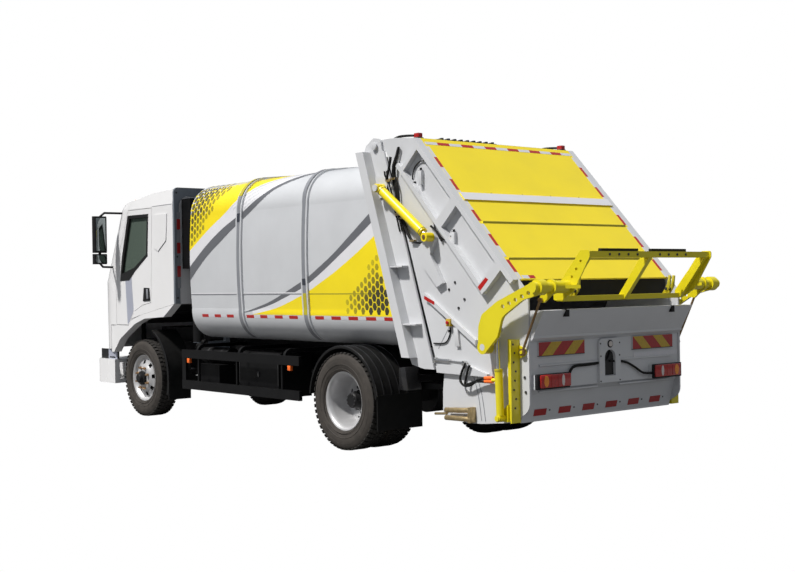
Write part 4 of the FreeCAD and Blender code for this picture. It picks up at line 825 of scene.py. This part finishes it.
def foot_lock():
    """Small lock cylinder at the seam's foot, the gold bars below it and the plate's grooves, drawn as grey
    cords of painted shade.
    """
    lock = tail("lock_cylinder", "chrome")
    cylinder(lock, at(1.098, 5.75, 0.956), at(1.098, 5.96, 0.953), 0.02, 16, 0.003)
    cylinder(lock, at(1.098, 5.96, 0.953), at(1.098, 6.14, 0.944), 0.011, 12)
    for y0, y1, z0, z1 in ((6.13, 6.165, 0.92, 0.965), (5.735, 5.765, 0.93, 0.982)):
        block(lock, 1.075, 1.12, y0, y1, z0, z1, 0.004)
    gold = tail("gold_bars", "zinc")
    for y, z0, z1 in ((6.235, 0.502, 0.52), (6.246, 0.432, 0.438)):
        cylinder(gold, at(1.118, 5.905, z0), at(1.118, y, z1), 0.024, 16, 0.004)
    cylinder(gold, at(1.118, 5.76, 0.458), at(1.118, 5.925, 0.47), 0.012, 12)
    block(gold, SIDE_FACE, 1.14, 6.215, 6.255, 0.405, 0.548, 0.006)
    # Grey cords of painted shade mark the plate's grooves
    for points in ([(6.234, 0.815), (6.291, 0.651), (6.326, 0.432)],
                   [(6.28, 0.818), (6.337, 0.654), (6.378, 0.427)]):
        tube_x(tail("foot_groove_shade", "hoop_grey"), SIDE_FACE + 0.001, points, 0.004, 6)


def side_marks():
    """Tape on the lower rib, bolts of the lug and the hole row of the plate's foot, whose holes are thin dark
    discs of painted shade.
    """
    red = tail("rib_tape", "red")
    plate_x(red, [(6.362, 1.637), (6.466, 1.723), (6.499, 1.702), (6.393, 1.603)], RIB_FACE + 0.0004,
            RIB_FACE + 0.0014)
    plate_x(red, [(5.603, 1.526), (5.746, 1.471), (5.746, 1.505), (5.603, 1.56)], 1.0956, 1.0964)
    dark = tail("side_studs_and_hole_shade", "steel")
    for y, z in ((6.004, 1.682), (5.923, 1.615), (6.128, 1.526), (6.048, 1.445), (6.883, 0.718),
                 (6.874, 0.846)):
        rod_x(dark, SIDE_FACE, SIDE_FACE + 0.008, y, z, 0.013, 6)
    # Thin dark discs of painted shade stand for the holes
    for y, z in ((6.716, 1.139), (6.713, 0.987), (6.711, 0.916), (6.72, 0.76), (6.718, 0.667),
                 (6.717, 0.56)):
        paired(rod_x, dark, 1.0772, 1.0782, y, z, 0.01, 10)
    for points in ([(5.64, 1.53), (5.93, 1.29), (5.76, 1.06)],
                   [(6.54, 1.33), (6.42, 1.21), (6.52, 1.12)]):
        for a, b in zip(map(Vector, points), map(Vector, points[1:])):
            way = (b - a).normalized() * 0.004
            across = Vector((-way.y, way.x))
            plate_x(tail("plate_seams", "hoop_grey"), [a + across, b + across, b - across, a - across],
                    SIDE_FACE, SIDE_FACE + 0.001)


def warning_board(s):
    """Slanted red and yellow stripes on one board of the rear wall."""
    low, high = 1.028, 1.146
    outer, inner = 0.943, 0.342
    block(tail("board_red", "board_red"), s * outer, s * inner, BOARD_FACE, BOARD_FACE + 0.0012, low, high)
    lean = 0.13
    for start, end in ((0.165, 0.302), (0.459, 0.596)):
        stripe = [(s * (outer - share), z) for share, z in (
            (start - lean, low), (end - lean, low), (end, high), (start, high))]
        plate_y(tail("board_yellow", "board_yellow"), stripe, BOARD_FACE + 0.0012, BOARD_FACE + 0.0022)
    block(tail("board_frames", "steel"), s * (outer + 0.004), s * (inner - 0.004), BOARD_FACE - 0.012,
          BOARD_FACE + 0.001, low - 0.006, low)


def rear_lamp(s):
    """Lamp with its dark housing, amber and clear zones, on the stand of the rear wall."""
    inner, outer = 0.592, 1.018
    block(tail("lamp_housings", "plastic"), s * inner, s * outer, STAND_FACE, STAND_FACE + 0.028, 0.736,
          0.872, 0.006)
    block(tail("lamp_lenses", "lamp_red"), s * (inner + 0.006), s * (outer - 0.03), STAND_FACE + 0.026,
          STAND_FACE + 0.046, 0.75, 0.866, 0.012)
    for share, look, width in ((0.77, "amber", 0.03), (0.26, "lamp_clear", 0.019)):
        x = s * (inner + (outer - inner) * share)
        ring = [(x + width * cos(a), 0.808 + 0.05 * sin(a)) for a in
                (2 * pi * k / 20 for k in range(20))]
        plate_y(tail("lamp_" + look, look), ring, STAND_FACE + 0.0455, STAND_FACE + 0.0475)
    for share in (0.42, 0.62):
        x = s * (inner + (outer - inner) * share)
        block(tail("lamp_dividers", "lamp_red"), x - 0.002, x + 0.002, STAND_FACE + 0.045,
              STAND_FACE + 0.0485, 0.76, 0.858)


def rear_wall():
    """Boards, lamps, blank strip, ledges, and notches filled with painted shade, of the tailgate's rear wall.
    """
    for s, _ in SIDES:
        warning_board(s)
        rear_lamp(s)
    block(tail("blank_strip", "tape_white"), -0.362, -1.03, 6.9125, 6.915, 0.95, 0.992)
    notch, ledge = tail("rear_dark", "plastic"), tail("rear_ledges", "pale")
    # Dark blocks in the notches are painted shade
    paired(block, notch, 0.7672, 0.7228, 7.022, 7.092, 1.368, 1.43)
    paired(block, notch, 0.775, 0.715, 7.072, 7.08, 1.38, 1.396, 0.002)
    paired(block, ledge, 0.155, 0.93, 6.91, 6.924, 0.934, 0.95, 0.003)
    paired(block, ledge, 0.155, 0.93, 6.9, 6.92, 0.706, 0.72, 0.003)


BAR_Y, BAR_Z, BAR_LEAN = 6.795, 0.44, 0.2885


def on_bar(x, z, lift):
    """A place on the slanted bar below the rear wall."""
    return at(x, BAR_Y + (z - BAR_Z) * BAR_LEAN + lift, z)


def reflectors():
    """Six red reflectors on the bar, each with a stud beside it."""
    for x in (0.904 - 0.3235 * k for k in range(6)):
        corners = [on_bar(a, z, 0.0008) for a, z in quad(x, x - 0.157, 0.492, 0.551)]
        extruded(tail("reflectors", "board_red"), corners, Vector((0, 0.003, 0)))
        stud_x, stud_z = x - 0.2, 0.533
        cylinder(tail("reflector_studs", "steel"), on_bar(stud_x, stud_z, 0.0), on_bar(stud_x, stud_z, 0.004),
                 0.008, 8)


def rear_cables():
    """Cables from lamp to lamp through the bracket in the middle."""
    cable = tail("rear_cables", "rubber")
    tube(cable, [(0.592, 6.95, 0.82), (0.54, 6.935, 0.885), (0.47, 6.93, 0.915), (0.3, 6.926, 0.918),
                 (0.16, 6.926, 0.925)], 0.013)
    tube(cable, [(-0.16, 6.926, 0.925), (-0.26, 6.926, 0.905), (-0.37, 6.93, 0.855), (-0.47, 6.94, 0.8),
                 (-0.592, 6.95, 0.79)], 0.011)
    tube(cable, [(0.15, 6.918, 0.93), (0.04, 6.92, 0.945), (-0.01, 6.921, 1.01), (-0.004, 6.921, 1.05)],
         0.007)
    tube(cable, [(-0.01, 6.921, 0.935), (-0.07, 6.921, 0.93), (-0.15, 6.921, 0.925)], 0.01, 8, 4)


def bracket_look():
    """Lamp, arched hollow with painted shade in it, and bolts of the bracket between the boards."""
    rod_y(tail("bracket_lamp", "lamp_clear"), 0, 6.937, 6.95, 1.094, 0.026, 16, 0.003)
    rod_y(tail("rear_dark", "plastic"), 0, 6.936, 6.944, 1.094, 0.036, 16, 0.002)
    half_arch = [(0.07, 0.806), (0.07, 0.975), (0.058, 1.01), (0.034, 1.03)]
    arch = half_arch + [(0.0, 1.036)] + [(-x, z) for x, z in half_arch[::-1]]
    # A dark sheet in the arched hollow is painted shade
    plate_y(tail("bracket_hollow_shade", "seal"), arch, WALL_FACE, WALL_FACE + 0.002)
    for x, z in ((0.135, 0.755), (0.132, 0.985), (0.135, 1.1)):
        mirrored(rod_y, tail("reflector_studs", "steel"), x, 6.937, 6.941, z, 0.007, 8)


def inner_flaps():
    """Black rubber curtain in the hopper's mouth."""
    count, thick = 26, 0.006
    part = bmesh.new()
    xs = [-1.02 + 2.04 * k / count for k in range(count + 1)]
    lower = [(x, 6.8 + 0.012 * sin(x * 7.0), 1.5 - 0.02 * cos(x * 4.0)) for x in xs]
    upper = [(x, 6.795, 1.69) for x in xs]
    rows = [[part.verts.new(at(x, y - back, z)) for x, y, z in line]
            for line, back in ((lower, 0), (upper, 0), (upper, thick), (lower, thick))]
    strips(part, rows + rows[:1])
    for k in (0, count):
        part.faces.new([row[k] for row in rows])
    merge(tail("mouth_curtain", "rubber"), part, True)


def lift_eyes():
    """Yellow eyes, collars and pin heads of the tailgate's lift cylinders."""
    y, z = 5.738, 2.109
    for s, word in SIDES:
        x, head = s * 1.16, s * 0.0495
        eye = piece("lift_eye_" + word, "lift_rod_" + word, "yellow")
        rod_x(eye, x - 0.0495, x + 0.0495, y, z, 0.0425, 28)
        pin = piece("lift_pins_" + word, "lift_rod_" + word, "brass")
        rod_x(pin, x + head, x + s * 0.056, y, z, 0.022, 16, 0.002)
        ring = piece("lift_ring_" + word, "lift_barrel_" + word, "steel")
        low, top = at(x, y, z), at(x, 5.041, 2.614)
        way = (top - low).normalized()
        cylinder(ring, low + way * 0.092, low + way * 0.1, 0.0475, 28)
        cylinder(ring, top - way * 0.055, top - way * 0.063, 0.0475, 28)


def pillar_details():
    """Hoses, their clips and the hinge disc on the slanted portal."""
    for shift in (0.0, 0.034):
        points = [(5.052, 2.78), (5.07, 2.69), (5.15, 2.5), (5.215, 2.35), (5.27, 2.18)]
        tube_x(chassis("portal_hoses", "rubber"), 1.101, [(y + shift, z) for y, z in points], 0.0075)
    for y, z in ((5.087, 2.69), (5.23, 2.35)):
        block(chassis("portal_clips", "zinc"), 1.093, 1.1095, y - 0.02, y + 0.06, z - 0.014, z + 0.014, 0.003)
    paired(rod_x, chassis("hinge_discs", "pale"), 1.1085, 1.1225, 4.911, 3.04, 0.04, 24, 0.004)


slope_tapes()
slope_skin()
for y, z in ((5.555, 2.738), (6.001, 2.135)):
    sensor(y, z)
side_cables()
stop_button()
foot_lock()
side_marks()
rear_wall()
reflectors()
rear_cables()
bracket_look()
inner_flaps()
lift_eyes()
pillar_details()


# Cab

WINDOW = [(-0.385, 1.845), (-0.335, 2.05), (-0.16, 2.588), (0.333, 2.588), (0.298, 2.088), (-0.04, 1.917)]
WINDOW_RUBBER = [(-0.425, 1.765), (-0.378, 2.05), (-0.192, 2.616), (0.353, 2.612), (0.317, 2.076),
                 (-0.02, 1.886), (-0.177, 1.772)]
WINDOW_LINE = [(-0.372, 1.86), (-0.32, 2.052), (-0.146, 2.574), (0.32, 2.574), (0.286, 2.096),
               (-0.046, 1.93), (-0.177, 1.903)]
DOOR_FACE, HANDLE_FACE = 1.1202, 1.13
MIRROR_FACE = -0.4949
LAMP_BACK = -1.2825
PANEL_FACE = 1.0202


def ring_x(target, outer, inner, x0, x1):
    """A flat frame between two outlines with as many corners each."""
    part = bmesh.new()
    rows = [[part.verts.new(at(x, y, z)) for y, z in line]
            for x, line in ((x0, outer), (x1, outer), (x1, inner), (x0, inner))]
    strips(part, rows + rows[:1], True)
    merge(target, part, True)


def door_look(s, word):
    def door_piece(name, look):
        return piece("door_%s_%s" % (name, word), "door_" + word, look)

    ring_x(door_piece("rubber", "seal"), WINDOW_RUBBER, WINDOW_LINE, s * 1.1, s * 1.1245)
    plate_x(door_piece("glass", "glass"), WINDOW, s * 1.09, s * 1.094)
    plate_x(door_piece("handle", "plastic"), [(0.215, 1.673), (0.355, 1.668), (0.372, 1.505), (0.188, 1.5)],
            s * DOOR_FACE, s * HANDLE_FACE, 0.008)
    plate_x(door_piece("grip", "hoop_grey"), [(0.29, 1.655), (0.335, 1.652), (0.345, 1.53), (0.3, 1.53)],
            s * HANDLE_FACE, s * 1.138, 0.006)
    plate_x(door_piece("stripe", "stripe"), [(-0.287, 1.76), (-0.12, 1.825), (-0.075, 1.375), (-0.215, 1.205),
                                             (-0.242, 1.205)], s * DOOR_FACE, s * 1.1212)


def cab_side_look():
    """Pocket outline and roof line of the cab's side, tape on the grey panel, and the mirror's glass."""
    lines = cab("cab_lines", "hoop_grey")
    mirrored(tube_x, lines, 1.119, [(0.505, 2.175), (0.505, 2.585), (0.825, 2.585), (0.797, 2.264),
                                    (0.6, 2.137), (0.505, 2.175)], 0.0075, 6, 1)
    mirrored(tube_x, lines, 1.119, [(0.455, 2.7), (0.7, 2.702), (0.955, 2.705)], 0.004, 6, 1)
    for low, high in ((2.385, 2.515), (2.09, 2.222), (1.8, 1.935)):
        paired(block, chassis("panel_tape", "board_red"), 1.048, 1.096, PANEL_FACE, 1.0216, low, high)
    for low, high in ((2.52, 2.6), (2.225, 2.38), (1.94, 2.085), (1.66, 1.795)):
        paired(block, chassis("panel_band", "hoop_grey"), 1.05, 1.094, PANEL_FACE, 1.0212, low, high)
    for z in (2.84, 2.05, 1.54):
        mirrored(rod_y, chassis("panel_studs", "steel"), 1.095, 1.02, 1.025, z, 0.012, 10)
    glass, rim = cab("mirror_glass", "mirror"), cab("mirror_rims", "plastic")
    for low, high in ((2.165, 2.598), (2.008, 2.108)):
        paired(block, glass, 1.29, 1.425, MIRROR_FACE, MIRROR_FACE + 0.003, low, high, 0.002)
        bars = [(x - 0.006, x + 0.006, low - 0.008, high + 0.008) for x in (1.28, 1.435)]
        bars += [(1.275, 1.44, z, z + 0.006) for z in (low - 0.01, high + 0.004)]
        for x0, x1, z0, z1 in bars:
            paired(block, rim, x0, x1, MIRROR_FACE, MIRROR_FACE + 0.006, z0, z1)


def cab_front_y(x, z, inset):
    """Where the cab's bowed front stands at (x, z), inset from its skin."""
    foot, sill = 0.86, 1.75
    share = min(max((z - sill) / 0.95, 0.0), 1.0)
    nose = -1.215 + 0.485 * share + inset
    turn = -0.56 + 0.42 * share
    if z < sill:
        nose = -1.19 - 0.025 * (z - foot) / (sill - foot) + inset
    half = 1.12 - inset
    bow_x, bow_y = half - 0.33, nose + 0.07
    if abs(x) <= bow_x:
        cx, cy, r = circle_through((-bow_x, bow_y), (0.0, nose), (bow_x, bow_y))
    else:
        cx, cy, r = circle_through((bow_x, bow_y), (half - 0.095, turn + (nose - turn) * 0.62), (half, turn))
    return cy - sqrt(max(r * r - (abs(x) - cx) ** 2, 0.0))


def on_front(x, z, inset):
    return x, cab_front_y(x, z, inset), z


def front_skin(target, half, z0, z1, inset, across, up=1, taper=0.0):
    """A sheet on the cab's front from -half to half, narrower at its top by taper."""
    rows = []
    for k in range(up + 1):
        z = z0 + (z1 - z0) * k / up
        reach = half * (1.0 - taper * k / up)
        rows.append([at(*on_front(reach * (2 * i / across - 1), z, inset)) for i in range(across + 1)])
    sheet(target, rows)


def cab_front_look():
    """Windscreen, grille, wipers, bumper lamps, steps with painted shade in their recesses, and the lamps on
    the cab's roof.
    """
    front_skin(cab("windscreen_glass", "glass"), 0.975, 1.815, 2.635, 0.022, 30, 12, 0.062)
    front_skin(cab("grille", "plastic"), 0.64, 1.0, 1.46, -0.003, 20, 4)
    for z in (1.04 + 0.085 * k for k in range(5)):
        front_skin(cab("grille_slats", "hoop_grey"), 0.6, z, z + 0.03, -0.006, 20)
    front_skin(cab("screen_band", "seal"), 0.93, 1.79, 1.826, -0.003, 26)
    wiper = cab("wipers", "plastic")
    for middle in (0.44, -0.44):
        blade = [on_front(middle - 0.34 + 0.68 * k / 6, 1.845 + 0.02 * sin(pi * k / 6), -0.022)
                 for k in range(7)]
        tube(wiper, blade, 0.009, 8, 3)
        arm_x, arm_y, _ = on_front(middle, 1.855, -0.024)
        tube(wiper, [on_front(middle, 1.8, -0.004), (arm_x, arm_y, 1.86)], 0.01, 8, 1)
    dark = chassis("bumper_intake", "plastic")
    paired(block, dark, 0.6, 0.89, -1.2798, -1.283, 0.5, 0.672, 0.002)
    paired(block, chassis("head_lamps", "lamp_clear"), 0.615, 0.82, LAMP_BACK, -1.285, 0.515, 0.657, 0.002)
    paired(block, chassis("turn_lamps", "amber"), 0.83, 0.878, LAMP_BACK, -1.2848, 0.515, 0.657, 0.002)
    for half, low, high in ((0.56, 0.56, 0.66), (0.26, 0.418, 0.522)):
        block(dark, -half, half, LAMP_BACK, -1.2795, low, high, 0.002)
    recess = chassis("step_recess_shade", "plastic")
    # Black blocks in the step's recess and slot are painted shade
    paired(block, recess, 1.04, 1.056, -1.13, -0.64, 0.7, 0.852, 0.004)
    paired(block, recess, 1.066, 1.074, -0.86, -0.7, 0.735, 0.752, 0.002)
    paired(block, chassis("step_panels", "stripe"), 1.052, 1.07, -0.9, -0.66, 0.712, 0.846, 0.006)
    paired(block, cab("roof_marker_base", "plastic"), 0.88, 0.96, -0.35, -0.27, 2.74, 2.8, 0.008)
    mirrored(rod_z, cab("roof_markers", "amber"), 0.92, -0.31, 2.8, 2.838, 0.03, 16, 0.01)
    beacon = cab("roof_beacon", "plastic")
    block(beacon, 0.7, 0.79, -0.65, -0.57, 2.72, 2.8, 0.01)
    rod_z(beacon, 0.745, -0.61, 2.795, 2.862, 0.032, 18, 0.01)


# Chassis, roof of the tailgate and lifter

def guard_arc(target, x, radius, y, start, end):
    """A ridge round a mudguard, from one angle in degrees to another."""
    points = [(y + radius * cos(radians(a)), WHEEL_Z + radius * sin(radians(a)))
              for a in range(start, end + 1, 6)]
    tube_x(target, x, points, 0.0065, 6, 1)


def chassis_look():
    """Mudguard ridges, markers, air coils, straps, locker lines, wheel chock and hoses."""
    ridges = chassis("guard_ridges", "gloss")
    for x in (1.24, 1.15, 1.05, 0.95, 0.85):
        mirrored(guard_arc, ridges, x, 0.5565, REAR_AXLE, 8, 172)
    mirrored(guard_arc, ridges, 1.07, 0.7165, 0.0, -14, 58)
    for y in (1.33, 3.435):
        paired(block, chassis("side_markers", "orange"), 1.128, 1.166, y, y + 0.055, 0.756, 0.812, 0.005)
    for s, _ in SIDES:
        for z, x in ((0.99, 0.84), (0.95, 0.89)):
            coil = [(s * (x + 0.03 * cos(pi * k / 6)), 1.24 - 0.002 * k,
                     z - 0.00025 * k + 0.03 * sin(pi * k / 6)) for k in range(60)]
            tube(chassis("air_coils", "rubber"), coil, 0.007, 6, 1)
    for y in (1.4, 1.7):
        rod_y(chassis("tank_straps", "steel"), 0.84, y, y + 0.03, 0.84, 0.0965, 24)
    lines = chassis("locker_lines", "gloss")
    for y in (2.262, 3.038):
        block(lines, 1.0095, 1.0135, y - 0.006, y + 0.006, 0.44, 0.9)
    block(lines, 1.0095, 1.0135, 2.262, 3.038, 0.884, 0.896)
    block(lines, 1.0095, 1.02, 2.63, 2.67, 0.64, 0.7, 0.004)
    chock = [(5.19, 0.64), (5.19, 0.86), (5.29, 0.87), (5.33, 0.64)]
    plate_x(chassis("wheel_chock", "gloss"), chock, 0.9, 1.08, 0.01)
    block(chassis("chock_holder", "black"), 0.44, 0.905, 5.2, 5.3, 0.72, 0.78)
    for x in (0.62, 0.665):
        route = [(4.95, 0.905), (5.2, 0.93), (5.42, 0.98), (5.55, 1.03)]
        tube_x(chassis("frame_hoses", "rubber"), x, route, 0.014, 8, 5)


def roof_look():
    """Valve row, corner lamps and hoses on the tailgate's roof."""
    valves = tail("roof_valves", "steel")
    hose = tail("roof_hoses", "rubber")

    def roof_z(y):
        return 3.097 - (y - 5.192) * 0.1042

    block(valves, -0.18, 0.6, 5.26, 5.33, roof_z(5.33), 3.1, 0.004)
    for x in (-0.15 + 0.088 * k for k in range(9)):
        rod_z(valves, x, 5.295, 3.098, 3.118, 0.018, 12, 0.003)
        rod_y(tail("roof_caps", "zinc"), x, 5.255, 5.262, 3.106, 0.012, 10)
        route = [(x, 5.262, 3.104), (x, 5.22, 3.107), (x + 0.02, 5.17, 3.104), (x + 0.03, 5.1, 3.078)]
        tube(hose, route, 0.009, 6, 4)
    paired(block, tail("corner_lamps", "lamp_red"), 0.985, 1.04, 5.425, 5.495, 3.0735, 3.119, 0.006)
    paired(block, valves, 0.978, 1.044, 5.418, 5.502, roof_z(5.5), 3.076, 0.003)
    for x in (1.01, 1.036):
        mirrored(tube_x, hose, x, [(5.055, 3.062), (5.12, 3.09), (5.2, 3.109), (5.3, 3.108),
                                   (5.38, 3.102), (5.43, 3.096)], 0.0105, 8, 5)


def lifter_look(s, word):
    """Studs of the uprights, and the collar and port of the lifter's cylinder."""
    for z in (1.135, 1.06, 0.98, 0.9, 0.82, 0.74, 0.66, 0.58):
        x = s * (1.12 + 0.012 * ((z * 100) % 3))
        rod_y(tail("mount_studs", "steel"), x, 6.8152, 6.8182, z, 0.01, 8)
    body = "lifter_barrel_" + word
    foot, eye = at(s * 1.14, 6.64, 0.48), at(s * 1.14, 6.613, 1.261)
    way = (eye - foot).normalized()
    collar = piece("cylinder_collar_" + word, body, "yellow_dark")
    cylinder(collar, foot + way * 0.41, foot + way * 0.436, 0.0385, 24, 0.003)
    rod_y(piece("cylinder_ports_" + word, body, "yellow"), s * 1.14, 6.59, 6.545, 0.812, 0.016, 12)


def hose_bundle(s, word):
    """Hoses that come over the hinge and run down behind the seam."""
    path = [(5.25, 3.0), (5.222, 2.93), (5.17, 2.815), (5.178, 2.7), (5.215, 2.59), (5.235, 2.45),
            (5.29, 2.31), (5.365, 2.17), (5.44, 2.085), (5.56, 2.058)]
    for k, sway in enumerate((0.0, 0.022, -0.016)):
        points = [(y + sway * (1 + 0.6 * sin(5 * z + k)), z) for y, z in path]
        tube_x(tail("hinge_hoses_" + word, "rubber"), s * (1.082 + 0.012 * (k % 2)), points, 0.0095, 7, 4)
    for y, z in (path[3], path[6], path[8]):
        clip = tail("hinge_clips_" + word, "zinc")
        block(clip, s * 1.064, s * 1.104, y - 0.03, y + 0.034, z - 0.01, z + 0.01, 0.003)


def bin_frame_look():
    """Rubber pads, their bolts and the small hooks of the bin frame."""
    bolts = piece("frame_bolts", "grab_frame", "steel")
    for low, high in ((0.139, 0.639), (-0.556, -0.051)):
        block(piece("frame_pads", "grab_frame", "rubber"), low, high, 7.352, 7.392, 1.925, 1.956, 0.005)
        for k in range(4):
            rod_y(bolts, low + (high - low) * (k + 0.5) / 4, 7.43, 7.436, 1.903, 0.012, 6)
    hook = [(7.052, 1.549), (7.098, 1.549), (7.14, 1.61), (7.152, 1.712), (7.128, 1.718), (7.11, 1.632)]
    for x in (0.7, 0.64, -0.64, -0.7):
        plate_x(piece("frame_hooks", "grab_frame", "yellow_dark"), hook, x - 0.009, x + 0.009, 0.003)
    paired(rod_x, bolts, 0.62, 0.72, 7.1, 1.59, 0.014, 12)


def intake_look():
    """Black skins over the intake duct and its pipe."""
    duct = chassis("duct_skin", "black")
    x0, x1, y0, y1, z0, z1 = 0.6985, 1.0215, 1.0205, 1.2215, 1.8985, 2.7615
    pipe_x, pipe_y, thin = 0.86, 1.11, 0.001
    for x in (x0, x1):
        block(duct, x - thin, x + thin, y0, y1, z0, z1)
    block(duct, x0, x1, y1 - thin, y1 + thin, z0, z1)
    block(duct, x0, x1, y0, y1, z1 - thin, z1 + thin)
    rod_z(duct, pipe_x, pipe_y, 0.99, 1.897, 0.0712, 32)
    for z in (1.45, 1.8):
        rod_z(duct, pipe_x, pipe_y, z, z + 0.03, 0.0745, 32)


for s, word in SIDES:
    door_look(s, word)
    lifter_look(s, word)
    hose_bundle(s, word)
cab_side_look()
cab_front_look()
chassis_look()
roof_look()
bin_frame_look()
intake_look()


# Camera, fitted to the photograph: angles in radians, focal length in the photograph's pixels

CAMERA_PLACE = (8.72127, 14.21921, 1.69382)
YAW, PITCH, ROLL = 0.7027424, -0.0033188, -0.0161142
FOCAL_LENGTH = 1215.572
PHOTO_WIDTH, SENSOR = 795.0, 36.0


def add_object(name, data):
    obj = bpy.data.objects.new(name, data)
    bpy.context.scene.collection.objects.link(obj)
    return obj


def camera():
    way = Vector((-sin(YAW) * cos(PITCH), -cos(YAW) * cos(PITCH), sin(PITCH)))
    right = way.cross(Vector((0, 0, 1))).normalized()
    up = right.cross(way)
    right_rolled = right * cos(ROLL) + up * sin(ROLL)
    up_rolled = -right * sin(ROLL) + up * cos(ROLL)
    data = bpy.data.cameras.new("camera")
    data.sensor_fit = "HORIZONTAL"
    data.sensor_width = SENSOR
    data.lens = FOCAL_LENGTH * SENSOR / PHOTO_WIDTH
    data.clip_end = 200.0
    obj = add_object("camera", data)
    turn = Matrix((right_rolled, up_rolled, -way)).transposed().to_4x4()
    obj.matrix_world = Matrix.Translation(at(*CAMERA_PLACE)) @ turn
    bpy.context.scene.camera = obj


def ground():
    """A large grey floor that looks white to the camera."""
    mat = principled("floor_white", (0.15, 0.15, 0.15), 0.9, 0.0, 0.0, 0.01, 1.0)
    reach = 60
    mesh = bpy.data.meshes.new("floor")
    mesh.from_pydata([(x, y, -0.002) for x, y in quad(-reach, reach, -reach, reach)], [], [(0, 1, 2, 3)])
    mesh.materials.append(mat)
    tree = mat.node_tree
    bright = add_node(tree, "Emission", Color=(1, 1, 1, 1), Strength=1.0)
    mixed(tree, add_node(tree, "LightPath"), "Is Camera Ray", tree.nodes["Principled BSDF"], bright,
          "Material Output")
    floor = add_object("floor", mesh)


def sky():
    """Soft light that is brighter from above, behind a background that is white to the camera."""
    world = bpy.data.worlds.new("studio")
    bpy.context.scene.world = world
    world.use_nodes = True
    tree = world.node_tree
    back = fill(tree.nodes["Background"], Strength=0.43)
    split = add_node(tree, "SeparateXYZ")
    link(tree, add_node(tree, "TexCoord"), "Generated", split, "Vector")
    span = add_node(tree, "MapRange", From_Min=-1.0)
    link(tree, split, "Z", span, "Value")
    ramp = add_ramp(tree, (0.46, (0.17, 0.175, 0.19)), (0.76, (0.85, 0.9, 0.97)))
    link(tree, span, "Result", ramp, "Fac")
    link(tree, ramp, "Color", back, "Color")
    plain = add_node(tree, "Background", Color=(1, 1, 1, 1))
    mixed(tree, add_node(tree, "LightPath"), "Is Camera Ray", back, plain, "World Output")


def sunlight():
    sun = bpy.data.lights.new("sun", "SUN")
    sun.energy = 4.6
    sun.angle = radians(4)
    sun.color = (1.0, 0.975, 0.94)
    toward = Vector((0.55, -0.12, 0.83)).normalized()
    add_object("sun", sun).rotation_euler = toward.to_track_quat("Z", "Y").to_euler()


camera()
ground()
sky()
sunlight()
bpy.context.scene.view_settings.view_transform = "Standard"

# Every piece becomes one object that rides on its body

SHARP_EDGE = 35
for name, (part, body, look) in pieces.items():
    mesh = bpy.data.meshes.new(name)
    part.to_mesh(mesh)
    part.free()
    mesh.materials.append(MATERIALS[look])
    mesh.shade_smooth()
    obj = add_object(name, mesh)
    mesh.set_sharp_from_angle(angle=radians(SHARP_EDGE))
    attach(obj, body)
for name, node in REPLACED:
    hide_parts(node)
